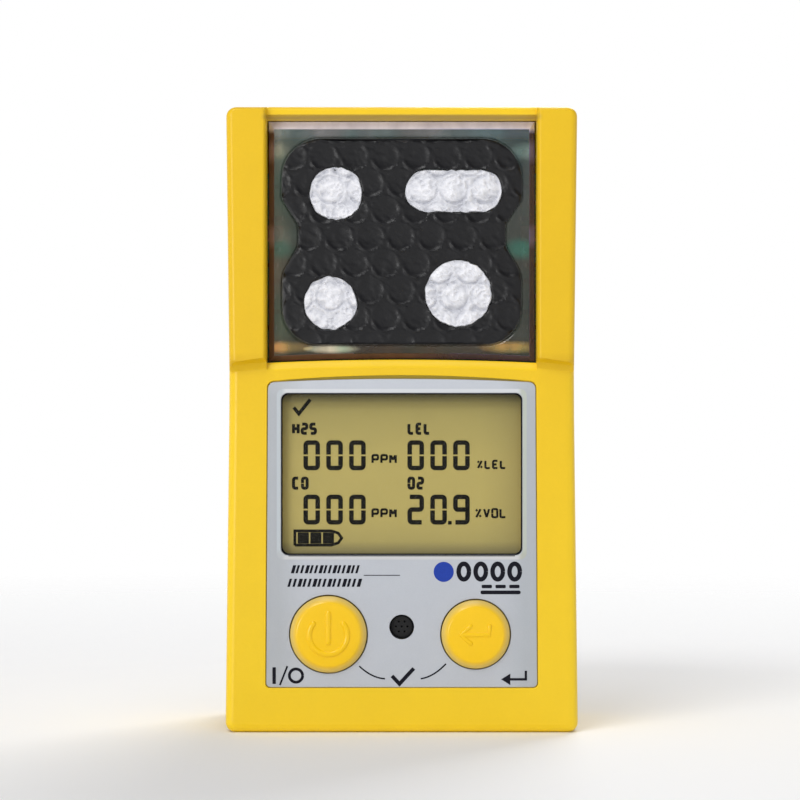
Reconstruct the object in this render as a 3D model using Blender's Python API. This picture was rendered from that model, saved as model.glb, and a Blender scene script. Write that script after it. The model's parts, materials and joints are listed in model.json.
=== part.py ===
"""Portable four-gas detector, standing on its bottom end.

Frame: X to the right as seen from the front, the front faces -Y, Z up. The
origin lies on the flat bottom end, in the middle of the case. Lengths are
written in millimetres and become metres when a mesh is made.
"""

import math

import bmesh
import bpy
from mathutils import Matrix, Vector

MM = 0.001
GAP = 0.25              # clearance between pieces that touch
OVER = 1.0              # how far a cutting shape runs past the wall it cuts

# Case
HEIGHT = 109.0
BOTTOM_HALF = 31.0
WAIST_HALF = 30.25
TOP_HALF = 30.8
WAIST_Z = 62.5
CORNER = 2.0
DRAFT = 0.25            # the sides lean in this much from the seam to the front or back
WALL = 2.4
TOP_WALL = 1.4
FRONT_Y = -16.5
BACK_Y = 16.5
SEAM_Y = 4.0
SEAM_HALF = 0.15
INNER_FRONT_Y = -14.0
INNER_BACK_Y = 14.2
FRONT_ROUND = 1.6
RIM_SHARE = 0.45        # the round on the narrow rim above the window is this much flatter
BACK_ROUND = 2.5

# Side rails, which stand beside the window
RAIL_Y = -18.5
RAIL_INNER = 23.2
RAIL_ROUND = 1.2
RAIL_FOOT_INNER = 63.4
RAIL_FOOT_OUTER = 62.7
RAIL_RAMP = 2.2         # height that the foot's ramp gains below the round

# Window over the sensors
WINDOW_HALF = 23.5
WINDOW_TOP = 107.5
WINDOW_LOW = 64.1
WINDOW_ARCH = 0.55
COVER_FRONT_Y = -14.8
COVER_BACK_Y = -12.5
COVER_BEVEL = 1.0
COVER_LIP = 0.8
BARRIER_FLOOR_Y = -14.35
BARRIER_FRONT_Y = -14.95

# Gas openings: centre x, centre z, half length and half height
OPENINGS = {
    "h2s": (-11.45, 94.0, 4.68, 4.68),
    "lel": (9.1, 94.4, 8.5, 3.68),
    "co": (-12.5, 74.8, 4.68, 4.68),
    "o2": (9.9, 76.5, 5.85, 5.85),
}
SENSOR_X = 10.6
SENSOR_Z_LOW = 75.5
SENSOR_Z_HIGH = 96.3
SENSOR_RADIUS = 9.9
SENSOR_FRONT_Y = -10.3
SENSOR_BACK_Y = 6.0
ALARM_X = 22.6
ALARM_Z = 87.3

# Front label and display
LABEL_LOW_HALF = 23.6
LABEL_HIGH_HALF = 23.3
LABEL_LOW = 7.9
LABEL_HIGH = 61.0
LABEL_ARCH = 0.6
RECESS_ARCH = 1.1
LABEL_FLOOR_Y = -15.7
LABEL_FRONT_Y = -16.25
LABEL_THICK = 0.4
VIEW_HALF = 21.0
VIEW_LOW = 30.9
VIEW_HIGH = 59.1
VIEW_CORNER = 1.2
LENS_SEAT_Y = -14.9
LENS_MARGIN = 1.6
LCD_HALF = 23.0
LCD_LOW = 28.5
LCD_HIGH = 61.5
LCD_FRONT_Y = -13.6
LCD_BACK_Y = -11.8

# Buttons and sounder port: centre x, centre z, cap radius
POWER = (-12.75, 17.15, 6.65)
ENTER = (12.85, 17.15, 5.95)
CAP_CLEARANCE = 0.35
CAP_TOP_Y = -17.6
CAP_EDGE_Y = -17.1
FLANGE_WIDTH = 1.5
FLANGE_Y = (-13.7, -13.0)
POST_RADIUS = 1.8
POST_END_Y = -12.0
SWITCH_HALF = 3.0
SWITCH_FRONT_Y = -11.3
PLUNGER_RADIUS = 1.55
PLUNGER_END_Y = -9.9
SOUNDER = (0.0, 18.4)
PORT_RADIUS = 2.15
SOUNDER_RADIUS = 7.0
SOUNDER_FRONT_Y = -12.3
SCREEN_Y = (-15.0, -14.4)

# Boards
BOARD_FRONT_Y = -8.4
BOARD_BACK_Y = -6.8
BOARD_HALF = 27.2
ARM_INNER = 21.2
SENSOR_BOARD_Y = 7.0
SENSOR_BOARD_THICK = 1.6

# Case screws
SCREW_X = 27.0
SCREW_ZS = (6.5, 103.0)
FRONT_BOSS_RADIUS = 2.4
REAR_BOSS_RADIUS = 2.7
INSERT_RADIUS = 1.6
THREAD_RADIUS = 1.0
HEAD_RADIUS = 1.95
HEAD_Y = 13.4

# Battery
BATTERY = (21.0, 2.4, 12.9, 16.0, 57.0)     # half width, front y, back y, low z, high z

# Vibration motor, its axis along X
MOTOR_Y = -3.1
MOTOR_Z = 8.2
MOTOR_RADIUS = 3.0

# Belt clip
CLIP_PLATE_Y = (16.75, 18.15)
CLIP_HALF = 11.0
CLIP_LOW = 55.0
CLIP_HIGH = 98.0
PIN_Y = 22.0
PIN_Z = 84.0
PIN_RADIUS = 1.1
LEVER_HALF = 7.5
LEVER_THICK = 1.2
CLIP_SCREW_ZS = (69.0, 92.5)

# Colour, roughness and metallic value of each finish
FINISHES = {
    "yellow_plastic": ((0.88, 0.56, 0.035), 0.42, 0.0),
    "clear_plastic": ((0.45, 0.5, 0.45), 0.12, 0.0),
    "black_rubber": ((0.02, 0.02, 0.022), 0.7, 0.0),
    "black_plastic": ((0.025, 0.025, 0.027), 0.45, 0.0),
    "white_plastic": ((0.75, 0.75, 0.73), 0.45, 0.0),
    "white_membrane": ((0.8, 0.8, 0.82), 0.6, 0.0),
    "grey_label": ((0.52, 0.56, 0.6), 0.4, 0.1),
    "lcd_glass": ((0.36, 0.29, 0.1), 0.25, 0.0),
    "green_board": ((0.02, 0.16, 0.07), 0.45, 0.0),
    "blue_wrap": ((0.03, 0.09, 0.3), 0.4, 0.0),
    "red_lens": ((0.6, 0.03, 0.02), 0.2, 0.0),
    "steel": ((0.62, 0.62, 0.63), 0.3, 1.0),
    "brass": ((0.8, 0.6, 0.25), 0.3, 1.0),
    "gold": ((0.9, 0.68, 0.25), 0.25, 1.0),
}


# ---------------------------------------------------------------- outlines

def fillet(corners, radii, steps=4):
    """Closed outline through the corners, each rounded; a radius of 0 keeps the point."""
    outline = []
    for i, corner in enumerate(corners):
        here = Vector(corner)
        if radii[i] == 0:
            outline.append(tuple(here))
            continue
        before = (Vector(corners[i - 1]) - here).normalized()
        after = (Vector(corners[(i + 1) % len(corners)]) - here).normalized()
        half = before.angle(after) / 2
        centre = here + (before + after).normalized() * radii[i] / math.sin(half)
        start = here + before * radii[i] / math.tan(half) - centre
        end = here + after * radii[i] / math.tan(half) - centre
        first = math.atan2(start.y, start.x)
        sweep = (math.atan2(end.y, end.x) - first + math.pi) % (2 * math.pi) - math.pi
        for step in range(steps + 1):
            angle = first + sweep * step / steps
            point = centre + Vector((math.cos(angle), math.sin(angle))) * radii[i]
            outline.append(tuple(point))
    return outline


def rectangle(low_x, high_x, low_z, high_z, radius=0.0, steps=4):
    """Rectangle with rounded corners."""
    corners = [(low_x, low_z), (high_x, low_z), (high_x, high_z), (low_x, high_z)]
    return fillet(corners, [radius] * 4, steps)


def circle(centre_x, centre_z, radius, steps=24):
    """Round outline."""
    turn = 2 * math.pi / steps
    return [(centre_x + radius * math.cos(turn * i), centre_z + radius * math.sin(turn * i))
            for i in range(steps)]


def opening(name, grow=0.0):
    """Outline of one gas opening, grown or shrunk; a long one has half-round ends."""
    x, z, half_x, half_z = OPENINGS[name]
    if half_x == half_z:
        return circle(x, z, half_x + grow, 24)
    half_x += grow
    half_z += grow
    return rectangle(x - half_x, x + half_x, z - half_z, z + half_z, half_z - 0.05, 6)


def case_outline(side, low=0.0, high=0.0, least=0.8):
    """Front view of the case, its sides, bottom and top moved in."""
    bottom = BOTTOM_HALF - side
    waist = WAIST_HALF - side
    top = TOP_HALF - side
    corners = [(-bottom, low), (bottom, low), (waist, WAIST_Z),
               (top, HEIGHT - high), (-top, HEIGHT - high), (-waist, WAIST_Z)]
    radius = max(CORNER - side, least)
    return fillet(corners, [radius, radius, 0, radius, radius, 0])


def arch(half, end_z, rise, steps=8):
    """Shallow arch from left to right."""
    points = []
    for i in range(steps + 1):
        along = 2 * i / steps - 1
        points.append((half * along, end_z + rise * (1 - along * along)))
    return points


def window_outline(gap, top_gap=None):
    """Opening between the rails, made smaller by the gap."""
    half = WINDOW_HALF - gap
    top = WINDOW_TOP - (gap if top_gap is None else top_gap)
    return arch(half, WINDOW_LOW + gap, WINDOW_ARCH) + [(half, top), (-half, top)]


def label_outline(grow, rise):
    """Front label or its recess: straight sides, a shallow arch on top."""
    low = LABEL_LOW_HALF + grow
    high = LABEL_HIGH_HALF + grow
    top = arch(high, LABEL_HIGH + grow, rise, 6)
    corners = [(-low, LABEL_LOW - grow), (low, LABEL_LOW - grow)] + top[::-1]
    radii = [0.8, 0.8, 1.2] + [0] * (len(top) - 2) + [1.2]
    return fillet(corners, radii)


def view_outline(grow):
    """Outline of the display opening."""
    return rectangle(-VIEW_HALF - grow, VIEW_HALF + grow, VIEW_LOW - grow, VIEW_HIGH + grow,
                     VIEW_CORNER)


def barrier_outline(grow, steps=4):
    """Figure of two lobes with a waist between them."""
    right = [(20.8, 67.6, 6.5), (20.8, 80.0, 6.0), (18.0, 84.8, 2.5),
             (18.0, 88.6, 1.5), (20.9, 93.0, 3.0), (20.9, 103.5, 7.0)]
    low = right[0][1]
    high = right[-1][1]
    corners = []
    radii = []
    for x, z, radius in right + [(-x, z, r) for x, z, r in right[::-1]]:
        shift = -grow if z == low else grow if z == high else 0.0
        corners.append((x + math.copysign(grow, x), z + shift))
        radii.append(radius)
    return fillet(corners, radii, steps)


# ------------------------------------------------------------------ shapes

def at_y(outline, y):
    """Ring in the plane of the given depth."""
    return [(x, y, z) for x, z in outline]


def loft(rings, closed=False):
    """Skin over rings of equal length, filled at both ends unless it closes on itself."""
    bm = bmesh.new()
    loops = [[bm.verts.new(point) for point in ring] for ring in rings]
    pairs = list(zip(loops, loops[1:]))
    if closed:
        pairs.append((loops[-1], loops[0]))
    for near, far in pairs:
        for i in range(len(near)):
            j = (i + 1) % len(near)
            bm.faces.new((near[i], near[j], far[j], far[i]))
    if not closed:
        bm.faces.new(loops[0])
        bm.faces.new(loops[-1])
    bmesh.ops.recalc_face_normals(bm, faces=bm.faces)
    return bm


def slab(outline, front_y, back_y):
    """Flat plate with the outline as its front view."""
    return loft([at_y(outline, front_y), at_y(outline, back_y)])


def box(x0, x1, y0, y1, z0, z1):
    """Square-edged block."""
    return slab([(x0, z0), (x1, z0), (x1, z1), (x0, z1)], y0, y1)


def band(outer, inner, front_y, back_y):
    """Plate ring between two outlines of equal length."""
    rings = [at_y(outer, front_y), at_y(outer, back_y), at_y(inner, back_y), at_y(inner, front_y)]
    return loft(rings, closed=True)


def turned(x, z, profile, steps=24, closed=False):
    """Round piece about an axis along Y; the profile lists depth and radius."""
    rings = [at_y(circle(x, z, radius, steps), y) for y, radius in profile]
    return loft(rings, closed)


def turned_x(y, z, profile, steps=16, closed=False):
    """Round piece about an axis along X; the profile lists x and radius."""
    rings = [[(x, a, b) for a, b in circle(y, z, radius, steps)] for x, radius in profile]
    return loft(rings, closed)


def side_slab(outline, x0, x1):
    """Plate with the outline as its side view, given as y and z."""
    return loft([[(x0, y, z) for y, z in outline], [(x1, y, z) for y, z in outline]])


def rounded_edge(face_y, radius, steps=4):
    """Depth and inset of the rings that round an edge, ending at the face."""
    away = math.copysign(1.0, face_y)
    for step in range(steps + 1):
        angle = math.pi / 2 * step / steps
        yield face_y - away * radius * (1 - math.sin(angle)), radius * (1 - math.cos(angle))


def strip(path, thickness):
    """Side outline of a bent sheet that follows the path."""
    left = []
    right = []
    for i, point in enumerate(path):
        here = Vector(point)
        along = Vector(path[min(i + 1, len(path) - 1)]) - Vector(path[max(i - 1, 0)])
        across = Vector((-along.y, along.x)).normalized() * thickness / 2
        left.append(tuple(here + across))
        right.append(tuple(here - across))
    return left + right[::-1]


def bent_path(points, radius, steps=4):
    """Open path with its inner corners rounded."""
    return fillet(points, [0] + [radius] * (len(points) - 2) + [0], steps)


# ----------------------------------------------------------------- objects

def place(name, bm, origin=(0, 0, 0)):
    """Object from a shape in millimetres, with its origin at the given point."""
    bm.transform(Matrix.Scale(MM, 4) @ Matrix.Translation(-Vector(origin)))
    mesh = bpy.data.meshes.new(name)
    bm.to_mesh(mesh)
    bm.free()
    obj = bpy.data.objects.new(name, mesh)
    obj.location = Vector(origin) * MM
    bpy.context.scene.collection.objects.link(obj)
    return obj


def paint(obj, finish):
    """Give the object a material of its own."""
    colour, roughness, metallic = FINISHES[finish]
    material = bpy.data.materials.new(obj.name)
    material.use_nodes = True
    shader = material.node_tree.nodes["Principled BSDF"]
    shader.inputs["Base Color"].default_value = (*colour, 1.0)
    shader.inputs["Roughness"].default_value = roughness
    shader.inputs["Metallic"].default_value = metallic
    obj.data.materials.append(material)


def piece(name, bm, finish, origin=(0, 0, 0)):
    """One named piece of the detector."""
    obj = place(name, bm, origin)
    obj.data.shade_smooth()
    obj.data.set_sharp_from_angle(angle=math.radians(35))
    paint(obj, finish)
    return obj


def combine(owner, operation, shapes):
    """Stack one Boolean for each shape on the owner."""
    for bm in shapes:
        tool = place(f"{owner.name}_tool_{len(owner.modifiers):02d}", bm)
        tool.hide_render = True
        tool.display_type = "WIRE"
        modifier = owner.modifiers.new(operation.lower(), "BOOLEAN")
        modifier.operation = operation
        modifier.solver = "EXACT"
        modifier.object = tool


def cut(owner, *shapes):
    """Take shapes away from a piece."""
    combine(owner, "DIFFERENCE", shapes)


def add(owner, *shapes):
    """Grow shapes onto a piece."""
    combine(owner, "UNION", shapes)


# -------------------------------------------------------------- front case

def front_body():
    """Outside of the front half, without its rails."""
    rings = [at_y(case_outline(0.0), SEAM_Y - SEAM_HALF)]
    for y, inset in rounded_edge(FRONT_Y, FRONT_ROUND):
        rings.append(at_y(case_outline(DRAFT + inset, inset, RIM_SHARE * inset), y))
    return loft(rings)


def rail(side):
    """One rail beside the window, ending below in a ramp."""
    start_y = RAIL_Y + RAIL_ROUND
    sections = [(-13.0, 0.8, 0.8, 0.0, 0.0), (-15.4, 0.3, 0.06, 0.0, 0.0),
                (FRONT_Y, 0.31, 0.0, 0.0, 0.0), (start_y, 0.32, 0.0, RAIL_RAMP * 0.4, 0.0)]
    for y, inset in list(rounded_edge(RAIL_Y, RAIL_ROUND))[1:]:
        sections.append((y, 0.32 + inset, inset, RAIL_RAMP * 0.4 + 1.3 * inset, 0.75 * inset))
    rings = []
    for y, outer, end, rise, inner in sections:
        low_x = WAIST_HALF - outer
        high_x = TOP_HALF - outer
        corners = [(RAIL_INNER + inner, RAIL_FOOT_INNER + rise), (low_x, RAIL_FOOT_OUTER + rise),
                   (high_x, HEIGHT - end), (RAIL_INNER + inner, HEIGHT - end)]
        radius = max(CORNER - outer, 0.8)
        outline = fillet(corners, [0, 0.4, radius, 0])
        rings.append([(side * x, y, z) for x, z in outline])
    return loft(rings)


def window_flare():
    """Bevel along the lower edge of the window opening."""
    half = WINDOW_HALF - 0.1
    top = WINDOW_LOW + 4.0
    near = arch(half, WINDOW_LOW + 0.3, WINDOW_ARCH) + [(half, top), (-half, top)]
    far = arch(half, WINDOW_LOW - 0.9, WINDOW_ARCH) + [(half, top), (-half, top)]
    return loft([at_y(far, FRONT_Y - 0.3), at_y(near, FRONT_Y + 0.9)])


def make_front_case():
    """Front half of the case: body, rails, openings, bosses."""
    case = piece("front_case", front_body(), "yellow_plastic")
    add(case, rail(1), rail(-1))
    side = WALL + DRAFT
    cut(case, loft([at_y(case_outline(WALL, WALL, TOP_WALL), SEAM_Y + OVER),
                    at_y(case_outline(side, WALL, TOP_WALL), INNER_FRONT_Y)]))
    cut(case, slab(window_outline(0.0), RAIL_Y - OVER, INNER_FRONT_Y + OVER))
    cut(case, window_flare())
    cut(case, slab(label_outline(GAP, RECESS_ARCH), FRONT_Y - OVER, LABEL_FLOOR_Y))
    cut(case, slab(view_outline(LENS_MARGIN + GAP), FRONT_Y - OVER, LENS_SEAT_Y))
    cut(case, slab(view_outline(0.3), FRONT_Y - OVER, INNER_FRONT_Y + OVER))
    for x, z, radius in (POWER, ENTER):
        hole = circle(x, z, radius + CAP_CLEARANCE, 32)
        cut(case, slab(hole, FRONT_Y - OVER, INNER_FRONT_Y + OVER))
    cut(case, slab(circle(*SOUNDER, PORT_RADIUS, 16), FRONT_Y - OVER, INNER_FRONT_Y + OVER))
    for side_sign in (-1, 1):
        pocket = sorted((side_sign * 24.9, side_sign * 27.7))
        cut(case, box(*pocket, -16.6, INNER_FRONT_Y + OVER, 68.0, 98.0))
        for z in SCREW_ZS:
            boss = circle(side_sign * SCREW_X, z, FRONT_BOSS_RADIUS, 20)
            add(case, slab(boss, INNER_FRONT_Y - 0.6, SEAM_Y - SEAM_HALF - 0.05))
            bore = circle(side_sign * SCREW_X, z, INSERT_RADIUS + 0.15, 16)
            cut(case, slab(bore, SEAM_Y - 8.0, SEAM_Y + OVER))


# --------------------------------------------------------------- rear case

def make_rear_case():
    """Rear half of the case: shell, seal groove, bosses, battery ribs and posts."""
    front = SEAM_Y + SEAM_HALF
    rings = [at_y(case_outline(0.0), front)]
    for y, inset in rounded_edge(BACK_Y, BACK_ROUND):
        rings.append(at_y(case_outline(DRAFT + inset, inset, inset), y))
    case = piece("rear_case", loft(rings), "yellow_plastic")
    cut(case, loft([at_y(case_outline(WALL, WALL, TOP_WALL), front - OVER),
                    at_y(case_outline(WALL + DRAFT, WALL, TOP_WALL), INNER_BACK_Y)]))
    cut(case, slab(rectangle(-17.0, 17.0, 17.0, 50.0, 1.5), BACK_Y - 0.35, BACK_Y + OVER))
    half, _, _, low, high = BATTERY
    for side in (-1, 1):
        rib = sorted((side * (half + 0.4), side * (half + 1.6)))
        add(case, box(*rib, 6.0, INNER_BACK_Y + 0.5, low, high))
        for z in (64.0, 101.0):
            add(case, slab(circle(side * 20.0, z, 1.3, 12), SENSOR_BOARD_Y + 1.9, INNER_BACK_Y + 0.5))
        for z in SCREW_ZS:
            centre = (side * SCREW_X, z)
            add(case, slab(circle(*centre, REAR_BOSS_RADIUS, 20), front + 0.05, INNER_BACK_Y + 0.5))
            cut(case, slab(circle(*centre, THREAD_RADIUS + 0.2, 16), front - OVER, BACK_Y + OVER))
            cut(case, slab(circle(*centre, HEAD_RADIUS + 0.2, 20), HEAD_Y - 0.2, BACK_Y + OVER))
        cut(case, slab(circle(side * 8.0, 9.0, 2.0, 20), INNER_BACK_Y - OVER, BACK_Y + OVER))
    for z in CLIP_SCREW_ZS:
        add(case, slab(circle(0.0, z, 2.4, 16), 10.2, INNER_BACK_Y + 0.5))
        cut(case, slab(circle(0.0, z, 0.95, 12), 11.0, BACK_Y + OVER))
    cut(case, band(case_outline(0.5, 0.5, 0.4), case_outline(1.6, 1.6, 1.4), front - OVER, front + 1.1))


def make_case_seal():
    """Cord seal in the groove between the halves."""
    front = SEAM_Y + SEAM_HALF
    ring = band(case_outline(0.65, 0.65, 0.55), case_outline(1.45, 1.45, 1.25), front - 0.12, front + 0.9)
    piece("case_seal", ring, "black_rubber")


def make_case_screws():
    """Four screws from the back and the brass inserts they hold in."""
    number = 0
    for z in SCREW_ZS:
        for side in (-1, 1):
            number += 1
            x = side * SCREW_X
            profile = [(-1.4, 0.6), (-0.9, THREAD_RADIUS), (HEAD_Y, THREAD_RADIUS),
                       (HEAD_Y, HEAD_RADIUS), (14.6, HEAD_RADIUS), (15.0, HEAD_RADIUS - 0.4)]
            screw = piece(f"case_screw_{number}", turned(x, z, profile, 12), "steel")
            cut(screw, slab(circle(x, z, 0.85, 6), 14.0, 16.0))
            sleeve = band(circle(x, z, INSERT_RADIUS, 12), circle(x, z, THREAD_RADIUS + 0.15, 12),
                          -3.0, SEAM_Y - 0.6)
            piece(f"case_insert_{number}", sleeve, "brass")


# ------------------------------------------------------------------ window

def make_window_cover():
    """Clear cover over the sensors, with a lip behind the case wall."""
    rings = [at_y(window_outline(GAP + COVER_BEVEL), COVER_FRONT_Y),
             at_y(window_outline(GAP), COVER_FRONT_Y + 0.7),
             at_y(window_outline(GAP), COVER_BACK_Y - 0.3)]
    cover = piece("window_cover", loft(rings), "clear_plastic")
    add(cover, slab(window_outline(-COVER_LIP, 1.2), INNER_FRONT_Y + GAP, COVER_BACK_Y))
    cut(cover, slab(barrier_outline(GAP), COVER_FRONT_Y - OVER, BARRIER_FLOOR_Y))
    for name in OPENINGS:
        cut(cover, slab(opening(name, -0.7), COVER_FRONT_Y - OVER, COVER_BACK_Y + OVER))


def make_barrier():
    """Black embossed barrier and the white membrane in each of its openings."""
    back = BARRIER_FLOOR_Y - 0.1
    barrier = piece("sensor_barrier", slab(barrier_outline(0.0), BARRIER_FRONT_Y, back), "black_rubber")
    for name in OPENINGS:
        cut(barrier, slab(opening(name), BARRIER_FRONT_Y - OVER, back + OVER))
        membrane = slab(opening(name, -0.12), BARRIER_FRONT_Y + 0.1, back)
        piece(f"{name}_membrane", membrane, "white_membrane")


def sensor_places():
    """Name and centre of each gas sensor."""
    return {"h2s": (-SENSOR_X, SENSOR_Z_HIGH), "lel": (SENSOR_X, SENSOR_Z_HIGH),
            "co": (-SENSOR_X, SENSOR_Z_LOW), "o2": (SENSOR_X, SENSOR_Z_LOW)}


def make_sensors():
    """Four round cells with three pins each, and the foam gasket in front of them."""
    finishes = {"h2s": "white_plastic", "lel": "steel", "co": "white_plastic", "o2": "white_plastic"}
    for name, (x, z) in sensor_places().items():
        profile = [(SENSOR_FRONT_Y + 0.5, 3.0), (SENSOR_FRONT_Y, 3.0), (SENSOR_FRONT_Y, 9.3),
                   (SENSOR_FRONT_Y + 0.6, SENSOR_RADIUS), (SENSOR_BACK_Y, SENSOR_RADIUS)]
        cell = piece(f"{name}_sensor", turned(x, z, profile, 20), finishes[name])
        for pin in range(3):
            angle = math.radians(90 + 120 * pin)
            centre = (x + 6.0 * math.cos(angle), z + 6.0 * math.sin(angle))
            add(cell, slab(circle(*centre, 0.75, 6), SENSOR_BACK_Y - 0.8, SENSOR_BOARD_Y - 0.2))
    gasket = piece("sensor_gasket", slab(barrier_outline(-0.6, 2), COVER_BACK_Y + 0.2, -10.6), "black_rubber")
    for x, z in sensor_places().values():
        cut(gasket, slab(circle(x, z, 8.0, 16), COVER_BACK_Y - OVER, -10.6 + OVER))


def make_alarm_leds():
    """Warning lights on the board's arms, seen through the window's sides."""
    for name, x in (("left", -ALARM_X), ("right", ALARM_X)):
        outline = rectangle(x - 1.7, x + 1.7, ALARM_Z - 1.4, ALARM_Z + 1.4, 0.4, 2)
        lens = slab(outline, -10.5, BOARD_FRONT_Y - 0.2)
        piece(f"alarm_led_{name}", lens, "red_lens")


# ------------------------------------------------------- label and display

def make_front_label():
    """Printed sheet round the display and the buttons."""
    back = LABEL_FRONT_Y + LABEL_THICK
    label = piece("front_label", slab(label_outline(0.0, LABEL_ARCH), LABEL_FRONT_Y, back), "grey_label")
    cut(label, slab(view_outline(0.0), LABEL_FRONT_Y - OVER, back + OVER))
    for x, z, radius in (POWER, ENTER):
        cut(label, slab(circle(x, z, radius + CAP_CLEARANCE + 0.1, 32), LABEL_FRONT_Y - OVER, back + OVER))
    cut(label, slab(circle(*SOUNDER, PORT_RADIUS + 0.1, 16), LABEL_FRONT_Y - OVER, back + OVER))


def make_display():
    """Lens, liquid-crystal panel, its frame, contact strips and backlight."""
    lens = slab(view_outline(LENS_MARGIN), LENS_SEAT_Y - 0.85, LENS_SEAT_Y - 0.15)
    piece("display_lens", lens, "clear_plastic")
    panel = box(-LCD_HALF, LCD_HALF, LCD_FRONT_Y, LCD_BACK_Y, LCD_LOW, LCD_HIGH)
    piece("lcd_panel", panel, "lcd_glass")
    outer = rectangle(-24.8, 24.8, LCD_LOW - 1.0, LCD_HIGH + 1.0, 1.0, 2)
    inner = rectangle(-LCD_HALF - 0.15, LCD_HALF + 0.15, LCD_LOW - 0.15, LCD_HIGH + 0.15, 0.1, 2)
    piece("lcd_frame", band(outer, inner, INNER_FRONT_Y + 0.2, BOARD_FRONT_Y - 0.3), "black_plastic")
    piece("backlight_panel", box(-22.0, 22.0, LCD_BACK_Y + 0.2, -10.0, 31.3, 58.7), "white_plastic")
    for name, low in (("lower", 28.8), ("upper", 59.0)):
        strip_block = box(-22.0, 22.0, LCD_BACK_Y + 0.1, BOARD_FRONT_Y - 0.15, low, low + 2.2)
        piece(f"contact_strip_{name}", strip_block, "black_rubber")


# -------------------------------------------------------- buttons, sounder

def make_button(name, x, z, radius):
    """Domed cap with a flange behind the wall and a post over the switch."""
    flange = radius + FLANGE_WIDTH
    flange_front, flange_back = FLANGE_Y
    profile = [(CAP_TOP_Y, radius * 0.35), (CAP_TOP_Y + 0.12, radius * 0.7),
               (CAP_EDGE_Y - 0.15, radius - 0.6), (CAP_EDGE_Y + 0.1, radius - 0.2),
               (CAP_EDGE_Y + 0.5, radius), (flange_front, radius),
               (flange_front, flange), (flange_back, flange),
               (flange_back, POST_RADIUS), (POST_END_Y, POST_RADIUS)]
    cap = turned(x, z, profile, 28)
    piece(f"{name}_button", cap, "yellow_plastic", origin=(x, CAP_EDGE_Y, z))
    body = box(x - SWITCH_HALF, x + SWITCH_HALF, SWITCH_FRONT_Y, BOARD_FRONT_Y - 0.2,
               z - SWITCH_HALF, z + SWITCH_HALF)
    switch = piece(f"{name}_switch", body, "black_plastic")
    cut(switch, slab(circle(x, z, PLUNGER_RADIUS + 0.2, 16), SWITCH_FRONT_Y - OVER, PLUNGER_END_Y + 0.8))
    front = POST_END_Y + 0.15
    plunger = turned(x, z, [(front, PLUNGER_RADIUS - 0.25), (front + 0.25, PLUNGER_RADIUS),
                            (PLUNGER_END_Y, PLUNGER_RADIUS)], 16)
    piece(f"{name}_switch_plunger", plunger, "white_plastic", origin=(x, front, z))


def make_sounder():
    """Sounder can on the board, its gasket ring and the screen in the port."""
    x, z = SOUNDER
    mouth = 1.2
    can = turned(x, z, [(SOUNDER_FRONT_Y + 0.5, mouth), (SOUNDER_FRONT_Y, mouth),
                        (SOUNDER_FRONT_Y, SOUNDER_RADIUS - 0.4), (SOUNDER_FRONT_Y + 0.4, SOUNDER_RADIUS),
                        (BOARD_FRONT_Y - 0.2, SOUNDER_RADIUS)], 24)
    piece("sounder", can, "black_plastic")
    ring = band(circle(x, z, 4.0, 20), circle(x, z, 2.9, 20), INNER_FRONT_Y + 0.15, SOUNDER_FRONT_Y - 0.15)
    piece("sounder_gasket", ring, "black_rubber")
    front, back = SCREEN_Y
    screen = piece("sounder_screen", slab(circle(x, z, PORT_RADIUS - 0.15, 16), front, back), "black_plastic")
    holes = [(x, z)] + circle(x, z, PORT_RADIUS / 2, 4)
    for centre in holes:
        cut(screen, slab(circle(*centre, 0.32, 8), front - OVER, back + OVER))


# ------------------------------------------------------- boards and battery

def make_boards():
    """Main board with two arms beside the sensors, sensor board, board connector."""
    notch = SCREW_X - FRONT_BOSS_RADIUS - 0.4
    half = [(notch, 4.0), (notch, 9.4), (BOARD_HALF, 9.4), (BOARD_HALF, 98.0),
            (ARM_INNER, 98.0), (ARM_INNER, 64.6)]
    outline = half + [(-x, z) for x, z in half[::-1]]
    piece("main_board", slab(outline, BOARD_FRONT_Y, BOARD_BACK_Y), "green_board")
    back = SENSOR_BOARD_Y + SENSOR_BOARD_THICK
    piece("sensor_board", slab(rectangle(-23.4, 23.4, 60.6, 105.6, 1.0, 2), SENSOR_BOARD_Y, back),
          "green_board")
    connector = box(-8.0, 8.0, BOARD_BACK_Y + 0.2, SENSOR_BOARD_Y - 0.2, 61.2, 64.2)
    piece("board_connector", connector, "black_plastic")


def make_battery():
    """Battery pack, the pad behind it, its socket on the board and the lead."""
    half, front, back, low, high = BATTERY
    radius = 2.5
    plan = rectangle(-half, half, front, back, radius)
    inner = rectangle(-half + 0.8, half - 0.8, front + 0.8, back - 0.8, radius - 0.8)
    levels = [(inner, low), (plan, low + 0.8), (plan, high - 0.8), (inner, high)]
    piece("battery_pack", loft([[(x, y, z) for x, y in ring] for ring, z in levels]), "blue_wrap")
    piece("battery_pad", box(-17.0, 17.0, back + 0.2, INNER_BACK_Y - 0.2, low + 3, high - 3), "black_rubber")
    socket_x = 15.0
    piece("battery_socket", box(socket_x - 3, socket_x + 3, BOARD_BACK_Y + 0.2, -3.6, 57.0, 62.6),
          "white_plastic")
    make_lead(Vector((socket_x, 7.0, high + 0.3)), Vector((socket_x, -3.35, 59.6)))


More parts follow.
